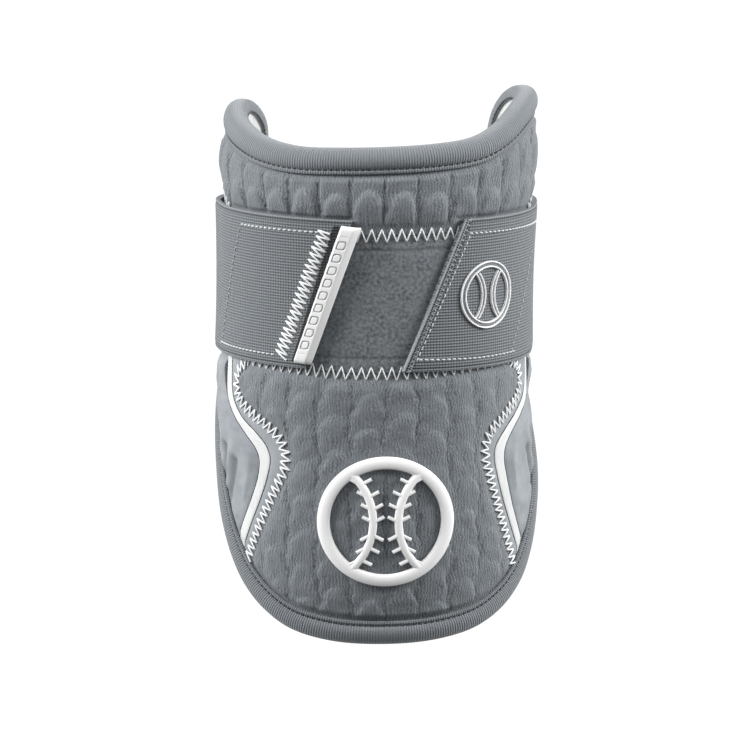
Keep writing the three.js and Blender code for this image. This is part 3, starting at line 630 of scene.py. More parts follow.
def elastic(low, high, dark):
    """Woven elastic webbing: cords run its length, cross threads make a fine grid, and each edge has a selvage,
    with painted shade in its groove, a painted highlight on the very edge, and painted shade in pressed places.
    """
    made, tree = material("woven elastic webbing", 0.8, 0.12)
    uv, run, height = pattern_mm(tree)
    ribs = sine(tree, height, 1.07)
    threads = sine(tree, scaled(tree, noise(tree, uv, 20.0), 0.4, run), 1.15)
    grid_share = span(tree, noise(tree, uv, 6.0), 0.38, 0.62, 0.04, 0.34)
    weave = scaled(tree, threads, grid_share, calc(tree, "MULTIPLY", ribs, 0.32))
    body = mix(tree, calc(tree, "ADD", weave, 0.5), low, high)
    from_foot, from_head = calc(tree, "SUBTRACT", height, STRAP_FOOT), calc(tree, "SUBTRACT", STRAP_HEAD, height)
    edge = calc(tree, "MINIMUM", from_foot, from_head)
    # Painted shade in the selvage's groove, a line 1.25 mm in from each edge.
    selvage = span(tree, calc(tree, "ABSOLUTE", calc(tree, "SUBTRACT", edge, 1.25)), 0.1, 0.45, 0.7, 0.0)
    body = mix(tree, selvage, body, dark)
    # Painted highlight on the strap's rounded edges.
    body = mix(tree, span(tree, edge, 0.5, 0.85, 0.55, 0.0), body, high)
    # Painted shade where the relief attribute is low.
    body = pressed_in(tree, body, 0.97, dark)
    return dress(made, body, (ribs, 0.6, 0.25), (threads, 0.4, 0.12))


def moulded(name, low, high, pressed=None):
    """Moulded TPU: satin, with a very fine spark texture, and painted shade that greys the pressed grooves."""
    made, tree = material(name, 0.42)
    place = add(tree, "TexCoord").outputs["Object"]
    grain = noise(tree, place, 2500.0)
    body = mix(tree, grain, low, high)
    if pressed:
        body = pressed_in(tree, body, 1.0, pressed)
    return dress(made, body, (grain, 0.15, 0.05))


def yarn(name, low, high):
    """Spun polyester sewing thread: two plies twisted, slightly glossy."""
    made, tree = material(name, 0.6, 0.1)
    place = add(tree, "TexCoord").outputs["Object"]
    twist = noise(tree, place, 1800.0)
    return dress(made, mix(tree, twist, low, high), (twist, 0.4, 0.1))


# KNIT's last colour is painted shade for the bead grooves.
KNIT = bead_knit("polyester bead knit", "#474d51", "#858a8f", "#2f3437")
LOOP = loop_cloth()
# FOAM's last colour is painted shade for the flutes.
FOAM = plain_knit("foam-backed warp knit", "#7b8085", "#8d9296", 0.85, "#5c6165")
GUSSET = plain_knit("plain warp knit", "#81868a", "#91969a", 0.88)
RIBBON = plain_knit("polyester ribbon", "#c8c9c9", "#d1d2d2", 0.6)
LINING = plain_knit("brushed lining knit", "#c0c1c0", "#cecfce", 0.9)
TAPE = tape("#53585c", "#80858a")
# ELASTIC's last colour is painted shade.
ELASTIC = elastic("#404448", "#7e8387", "#1a1c1e")
MOULDED = moulded("moulded white TPU", "#e8e8e8", "#f2f2f2")
# MOULDED_TAB's last colour is painted shade for the pressed oblongs.
MOULDED_TAB = moulded("moulded off-white TPU", "#d8d8d8", "#e4e4e4", "#808386")
MOULDED_GREY = moulded("moulded grey TPU", "#6b7074", "#777c80")
WHITE = yarn("white polyester thread", "#d2d4d6", "#eeefef")
GREY = yarn("grey polyester thread", "#b9bcbf", "#d5d7d9")
MID = yarn("mid-grey polyester thread", "#7f8488", "#a2a6a9")
DARK = yarn("dark polyester thread", "#222528", "#383b3e")

# ---- the padded panels ----

left_foot, _ = meet_rim(across(-125, -60, band_foot, 0, 200), "left")
left_head, _ = meet_rim(across(-130, -80, band_head, 0, 200), "left")
right_foot, _ = meet_rim(across(60, 125, band_foot, 0, 200), "right")
right_head, _ = meet_rim(across(80, 130, band_head, 0, 200), "right")
ear_left, _ = meet_rim([(-122, 88)], "left")
ear_right, _ = meet_rim([(117, 92)], "right")


def press(pattern):
    """Share of the full pad height near the binding, which presses the panels flat."""
    return smooth(BINDING_WIDTH + 0.3, BINDING_WIDTH + 3.0, rim_depth(pattern))


def pressed(top, share):
    """A pad's outer face where the binding and the seams hold it down."""
    return PRESSED_OUT + (top - PRESSED_OUT) * share


def beads(pattern, row, shift, tops, wander=1.0):
    """Height of the knitted beads, 0 to 1, and a painted shade that is 0 in their grooves and darker just above
    each bead's round top.

    Every second column is shifted by a share of the row, tops is the height of one row of bead tops in mm, and
    wander is how much the grooves sway.
    """
    a, y = pattern[..., 0], pattern[..., 1]
    sway = (0.75 * np.sin(2 * pi * y / (2 * row) + a / 19) + 0.42 * np.sin(2 * pi * y / 7.7 + a / 5.1)
            + 0.16 * np.sin(2 * pi * y / 2.6 + a / 3.3)) * wander
    x = (a + sway) / BEAD_PITCH
    column = np.floor(x)
    k = x - column
    y0 = y - tops - shift * row * (column % 2) + 0.9 * np.sin(column * 2.4)
    up = y0 / row - np.floor(y0 / row)
    side = np.minimum(k, 1 - k) * BEAD_PITCH
    inner = np.clip((k**1.3 - 0.08) / 0.84, 0, 1)
    round_share = np.sqrt(1 - (2 * inner - 1)**2)
    arch = 1 - 0.5 * (1 - round_share)
    under = np.where(up < arch, arch - up, arch + 1 - up) * row
    crown = (0.25 + 0.75 * np.sqrt(np.clip(under / 2.4, 0, 1))) * (1 - 0.6 * smooth(3.2, row, under))
    above = np.where(under > row * 0.6, np.abs(up - arch) * row, 9)
    groove = 1 - np.exp(-(side / 0.8)**1.4)
    height = (0.25 + 0.75 * groove) * crown * (0.6 + 0.4 * round_share)
    # Painted shade: dark in the grooves, with a painted shadow just above each bead's round top.
    shade = groove * (1 - 0.4 * np.exp(-(above / 1.0)**2))
    return height, shade


def puffed(name, pattern, out, held):
    """Rise in mm of a pad's face when Cloth with pressure fills it; held is 1 where it is sewn."""
    rows, columns = [np.unique(np.rint(np.linspace(0, n - 1, n // 3))).astype(int) for n in pattern.shape[:2]]
    pick = np.ix_(rows, columns)
    coarse, low = pattern[pick], out[pick]
    front = coarse.shape[0] * coarse.shape[1]
    o = grid(name, coarse, low, shell, PAD_THICK, np.arange(front).reshape(coarse.shape[:2]))
    before = read(o.data.vertices, "co", 3)
    sewn = o.vertex_groups.new(name="sewn")
    index = read(o.data.attributes["relief"].data, "value")
    spots = np.stack(np.divmod(np.rint(index[:front]).astype(int), coarse.shape[1]), -1)
    weights = np.clip(held[pick][spots[:, 0], spots[:, 1]], 0, 1)
    for v in range(len(o.data.vertices)):
        sewn.add([v], float(weights[v]) if v < front else 1.0, "REPLACE")
    cloth = o.modifiers.new("cloth", "CLOTH")
    for key, value in CLOTH.items():
        setattr(cloth.settings, key, value)
    cloth.settings.effector_weights.gravity = 0
    cloth.point_cache.frame_start, cloth.point_cache.frame_end = 1, CLOTH_FRAMES
    for step in range(1, CLOTH_FRAMES + 1):
        bpy.context.scene.frame_set(step)
    active(o)
    bpy.ops.object.modifier_apply(modifier=cloth.name)
    bpy.context.scene.frame_set(1)
    move = (read(o.data.vertices, "co", 3) - before).reshape(-1, 3)[:front] * METRE
    at = coarse[spots[:, 0], spots[:, 1]]
    normal = shell(at[:, 0], at[:, 1], 1.0) - shell(at[:, 0], at[:, 1], 0.0)
    rise = np.zeros(coarse.shape[:2])
    rise[spots[:, 0], spots[:, 1]] = np.clip((move * normal).sum(1), *PUFF)
    bpy.data.objects.remove(o)
    wide = np.pad(rise, 1, mode="edge")
    rise = (4 * rise + wide[:-2, 1:-1] + wide[2:, 1:-1] + wide[1:-1, :-2] + wide[1:-1, 2:]) / 8
    rise = np.stack([np.interp(np.arange(pattern.shape[1]), columns, row) for row in rise])
    rise = np.stack([np.interp(np.arange(pattern.shape[0]), rows, column) for column in rise.T], 1)
    return rise


def upper_panel():
    nu, nv = 330, 64
    start, end = left_head - 0.3, right_head + 0.3
    left = rim_line(start, ear_left, nv)
    right = rim_line(end, ear_right, nv)
    head = rim_line(ear_left, ear_right - RIM_COUNT, nu)
    foot = border(left[0], right[0], band_head, GAP, 400, nu)
    pattern = fill(foot, head, left, right)
    a, y = pattern[..., 0], pattern[..., 1]
    height, shade = beads(pattern, BEAD_ROW["upper"], 0.0, 72.6, 0.3)
    # Between the strap's ends the pad is free down to its seam.
    free = smooth(-15, -9.5, a) * (1 - smooth(25, 30, a))
    strap_edge = STRAP_HEAD + strap_turn(a)
    over_seam = y - band_head(a)
    beside_strap = pillow(y - strap_edge - 0.4, SEAM_OUT, PAD_OUT, 6)
    top = np.minimum(pillow(over_seam - 2.2, SEAM_OUT, PAD_OUT, 8), beside_strap + free * (PAD_OUT - beside_strap))
    shown = np.maximum(smooth(strap_edge - 0.5, strap_edge + 1.5, y), free) * smooth(2.0, 5.0, over_seam)
    held = press(pattern)
    front = np.clip(1.25 - np.abs(a) / 150, 0, 1)
    rise = puffed("upper_pad", pattern, pressed(top, held), 1 - 0.9 * shade * held * shown)
    top = top + (PUFF_SHARE["knit"] * rise + (height - 0.45) * 2.0 * front) * shown
    out = PRESSED_OUT + (top - PRESSED_OUT) * held * (0.25 + 0.75 * shown)
    out = np.maximum(out, 0.55)
    # The painted shade is weaker under the strap's edge, near the band's seam and near the binding.
    shade = 1 - (1 - shade) * (0.25 + 0.75 * shown * held)
    return pad("upper_bead_knit", pattern, out, KNIT, "upper_panel", shade)


def loop_band():
    nu, nv = 200, 120
    left = rim_line(left_foot - 0.3, left_head + 0.3, nv)
    right = rim_line(right_foot + 0.3, right_head - 0.3, nv)
    foot = border(left[0], right[0], band_foot, GAP, 400, nu)
    head = border(left[-1], right[-1], band_head, -GAP, 400, nu)
    pattern = fill(foot, head, left, right)
    a, y = pattern[..., 0], pattern[..., 1]
    from_foot, from_head = y - band_foot(a), band_head(a) - y
    top = pillow(np.minimum(from_foot, from_head) - 1.8, SEAM_OUT, BAND_OUT, 4)
    # The two pressed lines: sunk a little, and given painted shade through the relief attribute.
    line = np.exp(-(np.minimum(np.abs(from_foot - 5.6), np.abs(from_head - 5.4)) / 0.6)**2)
    out = pressed(top - 0.3 * line, press(pattern))
    return pad("brushed_loop_band", pattern, out, LOOP, "loop_band", 1 - line)


seams = {}
for key, table in SEAMS.items():
    line = curve(table, 600)
    step, j = meet_rim(line, key[0])
    top = int(np.argmax(line[:, 1] <= band_foot(line[:, 0]) + 0.001))
    seams[key] = (line[top:j + 1], step)


def side_line(key, off, count):
    """A seam from the rim up to the band, moved half a gap off it."""
    line, step = seams[key]
    line = line + sideways(line)[1] * off
    line = line[line[:, 1] < band_foot(line[:, 0]) - GAP]
    line = np.concatenate([[[line[0, 0], band_foot(line[0, 0]) - GAP]], line])
    return sample(line, count)[::-1], step


# Heights of a gusset's rows on its front seam and on the trim, so that the rows don't cross.
GUSSET_ROWS = {"share": (0, 0.72, 0.9, 1), "front": (-17.5, -2.7), "inner": (-21.5, -0.5)}


def by_height(line, stops):
    """The same line sampled at rows matched to the other side's by height."""
    share = np.linspace(0, 1, len(line))
    low, high = line[0, 1], line[-1, 1]
    y = np.interp(share, GUSSET_ROWS["share"], (low, *stops, high))
    return np.stack([np.interp(y, line[:, 1], line[:, 0]), y], -1)


def down_panel(left_key, right_key, nu, nv, matched=False):
    """A panel from the rim up to the band between two seams, and its points' distances from its seams."""
    left, low = side_line(left_key, GAP, nv)
    right, high = side_line(right_key, -GAP, nv)
    foot = rim_line(low + 0.5, high - 0.5, nu)
    left[0], right[0] = foot[0], foot[-1]
    if matched:
        left, right = by_height(left, GUSSET_ROWS[left_key[1]]), by_height(right, GUSSET_ROWS[right_key[1]])
    head = border(left[-1], right[-1], band_foot, -GAP, 200, nu)
    pattern = fill(foot, head, left, right, 8 if matched else 1)
    near = np.abs(band_foot(pattern[..., 0]) - pattern[..., 1])
    for key in (left_key, right_key):
        near = np.minimum(near, distance(pattern, seams[key][0]))
    return pattern, near


def lower_front_panel():
    pattern, near = down_panel(("left", "front"), ("right", "front"), 230, 200)
    height, shade = beads(pattern, BEAD_ROW["lower"], 0.5, 4.0)
    badge = np.hypot(pattern[..., 0] - BADGE["at"][0], pattern[..., 1] - BADGE["at"][1])
    quiet = 1 - 0.75 * np.exp(-((badge - BADGE["radius"] + 2.3) / 4.5)**2)
    under_strap = STRAP_FOOT + strap_turn(pattern[..., 0]) - 0.4 - pattern[..., 1]
    top = pillow(np.minimum(near - 2.0, under_strap), SEAM_OUT, PAD_OUT, 6)
    share = smooth(1.8, 5.0, near) * smooth(-0.5, 3.0, under_strap) * quiet
    held = press(pattern)
    rise = puffed("lower_pad", pattern, pressed(top, held), 1 - 0.9 * shade * held * share)
    out = top + (PUFF_SHARE["knit"] * rise * quiet + (height - 0.45) * 0.85) * share
    out = pressed(out, held)
    # The painted shade is weaker near the seams, under the strap and round the badge.
    shade = 1 - (1 - shade) * share * 0.8
    return pad("lower_bead_knit", pattern, out, KNIT, "lower_front_panel", shade)


def gussets_and_trims():
    for hand in ("left", "right"):
        order = 1 if hand == "left" else -1
        pattern, near = down_panel(*((hand, "inner"), (hand, "front"))[::order], 26, 120, True)
        top = pillow(near - 0.6, SEAM_OUT, BAND_OUT + 0.2, 3)
        out = pressed(top, press(pattern))
        pad(f"knit_gusset_{hand}", pattern, out, GUSSET, f"gusset_{hand}")
        pattern, near = down_panel(*((hand, "outer"), (hand, "inner"))[::order], 12, 120)
        top = pillow(near, TRIM_OUT - 0.45, TRIM_OUT, 0.8)
        out = pressed(top, press(pattern))
        finish(grid(f"ribbon_trim_{hand}", pattern, out, shell, PAD_THICK), RIBBON, f"trim_{hand}")


# Flutes pressed into each side panel: two ends, half width and depth, in mm.
FLUTES = {
    "left": [((-74.5, -28), (-77, -39), 1.7, 1.2), ((-66.5, -33), (-72, -48), 2.2, 1.7)],
    "right": [((72.0, -30), (79.5, -47), 2.1, 1.6), ((79.0, -25), (83.5, -36), 1.6, 1.2)]}


def side_panels():
    for hand in ("left", "right"):
        is_left = hand == "left"
        nu, nv = 60, 150
        inner, step = side_line((hand, "outer"), -GAP if is_left else GAP, nv)
        band_step = left_foot + 0.9 if is_left else right_foot - 0.9
        trim_step = step - 1 if is_left else step + 1
        corner = band_step + 0.8 * (trim_step - band_step)
        outer = rim_line(corner, band_step, nv)
        foot = rim_line(*((corner, trim_step) if is_left else (trim_step, corner)), nu)
        left, right = (outer, inner) if is_left else (inner, outer)
        left[0], right[0] = foot[0], foot[-1]
        head = border(left[-1], right[-1], band_foot, -GAP, 200, nu)
        pattern = fill(foot, head, left, right)
        near = distance(pattern, seams[hand, "outer"][0])
        bare = STRAP_FOOT - STRAP_TURN - 0.6 - pattern[..., 1]
        top = np.minimum(pillow(near, SEAM_OUT, SIDE_OUT, 5), pillow(bare, SEAM_OUT, SIDE_OUT, 1.5))
        top = top + 1.1 * smooth(-10, 1, pattern[..., 1]) * smooth(0, 3, bare)
        held = press(pattern)
        dents = [np.exp(-(distance(pattern, [start, end]) / wide)**2) for start, end, wide, _ in FLUTES[hand]]
        flute = np.maximum(*dents)
        free = held * (1 - flute) * smooth(0, 4, near) * smooth(0, 4, bare)
        rise = puffed(f"side_pad_{hand}", pattern, pressed(top, held), 1 - 0.95 * free)
        top = top + PUFF_SHARE["side"] * rise * smooth(0, 4, bare)
        for dent, (_, _, _, deep) in zip(dents, FLUTES[hand]):
            top = top - deep * dent
        out = pressed(top, held)
        # The flutes get painted shade through the relief attribute.
        pad(f"foam_side_{hand}", pattern, np.maximum(out, 0), FOAM, f"side_panel_{hand}", 1 - flute,
            PAD_THICK - 0.6)


def lining():
    nu, nv = 160, 110
    foot_left, _ = meet_rim([(-58, -66)], "left", LINING_DEEP)
    foot_right, _ = meet_rim([(58, -66)], "right", LINING_DEEP)
    foot = rim_line(foot_left, foot_right, nu, LINING_DEEP)
    head = rim_line(ear_left, ear_right - RIM_COUNT, nu, LINING_DEEP)
    left = rim_line(foot_left, ear_left, nv, LINING_DEEP)
    right = rim_line(foot_right, ear_right, nv, LINING_DEEP)
    pattern = fill(foot, head, left, right)
    return pad("inner_lining", pattern, LINING_OUT, LINING, "lining", None, LINING_THICK)


# Binding tape folded round the rim: depth in from the edge and distance out, in mm.
TAPE_PROFILE = [
    (9.5, 1.1), (9.5, 1.7), (9.3, 2.0), (8.8, 2.2), (8.3, 2.15), (8.0, 1.8), (7.7, 1.75), (7.4, 2.1),
    (6.8, 2.7), (5.8, 3.15), (4.6, 3.35), (3.2, 3.2), (2.0, 2.75), (1.0, 2.0), (0.3, 0.9), (0.0, -0.6),
    (0.05, -2.0), (0.3, -3.4), (0.9, -4.5), (1.8, -5.15), (3.0, -5.4), (4.2, -5.5), (5.0, -5.45), (5.3, -5.2),
    (5.3, -4.75), (4.0, -4.7), (1.4, -4.6), (0.9, -4.1), (0.9, 0.3), (1.4, 1.0), (5.0, 1.1)]


def binding():
    stations = 900
    profile = np.array(TAPE_PROFILE)
    run = run_lengths(profile, closed=True)

    def place_of(i, j):
        depth, out = profile[j % len(profile)].T
        pattern = rim_point((i % stations) / stations * RIM_COUNT, depth)
        return shell(pattern[:, 0], pattern[:, 1], out), np.stack([i / stations * rim_length, run[j]], -1)

    o = ring("folded_elastic_binding", stations, len(profile), place_of)
    return finish(o, TAPE, "edge_binding", 70)


# ---- the strap and what is on it ----

def elastic_strap():
    nv = 56
    turns = np.array([50, 60, 70, 80, 90, 98, 105, 111, 116, 120, 124, 127, 129.5, 132, 134, 136, 138, 141, 146,
                      156, 168])
    back = np.concatenate([turns, [180], 360 - turns[::-1]])
    v = np.linspace(0, 1, nv)
    v = v - 0.06 * np.sin(2 * pi * v)
    (right_foot_end, right_head_end), (left_foot_end, left_head_end) = STRAP_ENDS["right"], STRAP_ENDS["left"]
    start = right_foot_end + (right_head_end - right_foot_end) * v
    end = 360 + left_foot_end + (left_head_end - left_foot_end) * v
    # Close columns near both ends, where the hem and the overlocked edge are.
    near = np.array([0, 0.25, 0.55, 0.85, 1.1, 1.4, 2.0, 2.6, 3.0, 3.3, 3.6, 4.0, 4.6, 5.2, 5.8, 6.05, 6.3])
    rows = []
    slant = 0.89 + 0.11 * v
    for s, e, k in zip(start, end, slant):
        middle = np.interp(np.linspace(0, len(back) - 1, 110), np.arange(len(back)), back)
        first = np.concatenate([s + near, np.linspace(s + 6.3, back[0], 20)[1:-1]])
        last = np.concatenate([np.linspace(back[-1], e - 6.3 * k, 20)[1:-1], (e - near * k)[::-1]])
        rows.append(np.concatenate([first, middle, last]))
    angle = np.array(rows)
    flat = STRAP_FOOT + STRAP_WIDTH * v[:, None] + 0 * angle
    pattern = np.stack([angle, flat], -1)
    edge = np.minimum(flat - STRAP_FOOT, STRAP_HEAD - flat)
    from_right, from_left = angle - start[:, None], end[:, None] - angle
    out = STRAP_OUT - 0.35 * np.exp(-edge / 0.6)
    out = out - 0.25 * np.exp(-((edge - 1.25) / 0.45)**2)
    hem = np.exp(-((from_right - 1.25) / 0.3)**2)
    band = smooth(1.3, 1.6, from_right) * (1 - smooth(3.2, 3.6, from_right))
    out = out - 0.35 * hem - 0.2 * band
    # Painted shade in the hem crease and in the sunk band under the overlock loops.
    shade = 1 - np.maximum(0.45 * hem, 0.62 * band)
    # Painted shadow: a dark strip beside the pull tab's left side, except within 2.2 mm of the strap's edges.
    shade = np.minimum(shade, np.where((from_left < 6.1 * slant[:, None]) & (edge > 2.2), 0, 1))
    o = grid("woven_elastic_strap", pattern, out, on_strap, STRAP_THICK - 0.1, shade)
    return finish(o, ELASTIC, "elastic_strap", 60)


def pull_tab():
    """Moulded grip: a slanted bar with a bevelled right side and a row of plain pressed oblongs."""
    (fl, fr), (hl, hr) = TAB_CORNERS["foot"], TAB_CORNERS["head"]
    u = np.concatenate([np.linspace(0, 0.14, 8), np.linspace(0.14, 0.62, 19)[1:], np.linspace(0.62, 1, 12)[1:]])
    u, v = np.meshgrid(u, np.linspace(0, 1, 300))
    corners = [np.array(c) for c in (fl, fr, hl, hr)]
    pattern = ((corners[0] * (1 - u[..., None]) + corners[1] * u[..., None]) * (1 - v[..., None])
               + (corners[2] * (1 - u[..., None]) + corners[3] * u[..., None]) * v[..., None])
    ends = np.minimum(v, 1 - v) * 55
    top = np.interp(u, [0, 0.05, 0.12, 0.66, 0.72, 0.95, 1], [0.55, 0.85, 0.98, 1.0, 0.96, 0.5, 0.35]) * TAB_THICK
    top = top * (1 - 0.4 * np.exp(-ends / 0.7))
    along = v * 11 % 1
    oblong = (np.abs((u - 0.38) / 0.2)**4 + np.abs((along - 0.5) / 0.3)**4)**0.25
    rib = np.exp(-((oblong - 1) / 0.13)**2)
    rib = rib * smooth(0.06, 0.1, v) * (1 - smooth(0.9, 0.94, v))
    out = TAB_IN + top - 0.45 * rib
    # Painted shade in the pressed oblongs.
    shade = 1 - 0.8 * rib
    return finish(grid("moulded_pull_tab", pattern, out, strap, 2.0, shade), MOULDED_TAB, "pull_tab",
                  30)


# A moulded bar's section: shares of its half width and of its height.
BAR_PROFILE = [
    (-1, 0), (-1, 0.45), (-0.9, 0.8), (-0.7, 0.97), (0, 1.04), (0.7, 0.97), (0.9, 0.8), (1, 0.45), (1, 0)]


def bar(name, path, width, inside, thick, place, closed=False):
    """A raised moulded bar of rounded section along a path of pattern points."""
    profile = np.array(BAR_PROFILE)
    side = -sideways(path, closed)[1]
    if closed:
        n, m = len(path), len(profile)

        def place_of(i, j):
            i, j = i % n, j % m
            spot = path[i] + side[i] * (profile[j, 0] * width / 2)[:, None]
            return place(spot[:, 0], spot[:, 1], inside + profile[j, 1] * thick), spot

        return ring(name, n, m, place_of)
    spots = path[None] + side[None] * (profile[:, 0] * width / 2)[:, None, None]
    out = np.broadcast_to((inside + profile[:, 1] * thick)[:, None], spots.shape[:2])
    o = grid(name, spots[::-1], out[::-1], place, 0)
    in_edit_mode(o, bpy.ops.mesh.region_to_loop, bpy.ops.mesh.edge_face_add)
    return o


turn = np.linspace(0, 2 * pi, 120, endpoint=False)
WHEEL = np.stack([np.cos(turn), np.sin(turn)], -1)


def ball_seam(radius, y):
    """Distance of a ball's curved seam from its middle line, at a height."""
    return radius * 1.2 - np.sqrt((radius * 1.02)**2 - y**2)


def ball(name, spec, inside, place, node):
    """Plain ball motif: a ring with two curved seams and their short stitches."""
    at, radius, stroke, thick = np.array(spec["at"]), spec["radius"], spec["stroke"], spec["thick"]
    middle = radius - stroke / 2
    pieces = [bar(name, at + middle * WHEEL, stroke, inside, thick, place, closed=True)]
    for sign in (1, -1):
        y = np.linspace(-1, 1, 48) * radius * 0.77
        x = ball_seam(radius, y)
        keep = np.hypot(x, y) < middle
        seam = np.stack([sign * x[keep], y[keep]], -1)
        pieces.append(bar(name + "_seam", at + seam, stroke * 0.62, inside, thick * 0.98, place))
        for q in np.linspace(-0.78, 0.78, 7) * radius * 0.74:
            base = np.array([sign * ball_seam(radius, q), q])
            rise = stroke * 0.45 * (1 if q >= 0 else -1)
            tip = base + np.array([-sign * stroke * 0.85, rise])
            far = base + np.array([sign * stroke * 0.85, rise])
            line = np.stack([tip + (base - tip) * k for k in np.linspace(0, 1, 5)]
                            + [base + (far - base) * k for k in np.linspace(0.25, 1, 4)])
            pieces.append(bar(name + "_tick", at + line, stroke * 0.26, inside, thick * 0.9, place))
    return finish(join(name, pieces), MOULDED, node, 45)


def outlined_ball():
    """The small motif on the strap: the same ball in grey, with thin white raised outlines."""
    at, radius, stroke, thick = np.array(PATCH["at"]), PATCH["radius"], PATCH["stroke"], PATCH["thick"]
    inside = TAB_IN - 0.15
    fill_thick, line_thick = thick * 0.6, thick * 1.3
    low = [bar("strap_ball_fill", at + (radius - stroke / 2) * WHEEL, stroke, inside, fill_thick, strap, True)]
    high = [bar("strap_ball_outline", at + r * WHEEL, 0.6, inside, line_thick, strap, True)
            for r in (radius - 0.3, radius - stroke + 0.1)]
    y = np.linspace(-1, 1, 48) * radius * 0.68
    x = ball_seam(radius, y)
    for sign in (1, -1):
        low.append(bar("strap_ball_seam", at + np.stack([sign * x, y], -1), 1.5, inside, fill_thick, strap))
        for off in (-0.75, 0.75):
            path = at + np.stack([sign * x + off, y], -1)
            high.append(bar("strap_ball_line", path, 0.5, inside, line_thick, strap))
    finish(join("strap_ball_fill", low), MOULDED_GREY, "strap_emblem", 45)
    finish(join("strap_ball_outline", high), MOULDED, None, 45)


# ---- sewing ----

chance = np.random.default_rng(7)


def zigzag(line, pitch, width, out, place=shell, lift=0.35, skew=0.0, jitter=0.0):
    """One strand that crosses a seam from side to side; its turns dip into the cloth."""
    count = max(2, int(round(run_lengths(line)[-1] / (pitch / 2))))
    spots = sample(line, count + 1)
    d, side = sideways(spots)
    sign = np.where(np.arange(count + 1) % 2, 1, -1)[:, None]
    ends = spots + side * sign * width / 2 + d * sign * skew
    ends += jitter * (chance.random((count + 1, 2)) - 0.5)
    run = []
    for a, b in zip(ends, ends[1:]):
        for k in (0.0, 0.12, 0.5, 0.88):
            spot = a + (b - a) * k
            run.append(place(spot[0], spot[1], out + lift * (0.25 if k == 0 else 0.8 if k != 0.5 else 1.0)))
    return [np.array(run)]


def dashes(line, pitch, share, out, place=shell, lift=0.3):
    """Lockstitch: short strands that dip into the cloth at both ends."""
    count = max(1, int(round(run_lengths(line)[-1] / pitch)))
    runs = []
    for i in range(count):
        k = (i + 0.5 + share * np.array([-0.5, -0.3, 0, 0.3, 0.5])) / count
        spots = sample(line, k)
        runs.append(place(spots[:, 0], spots[:, 1], out + lift * np.array([-0.9, 0.35, 0.6, 0.35, -0.9])))
    return runs


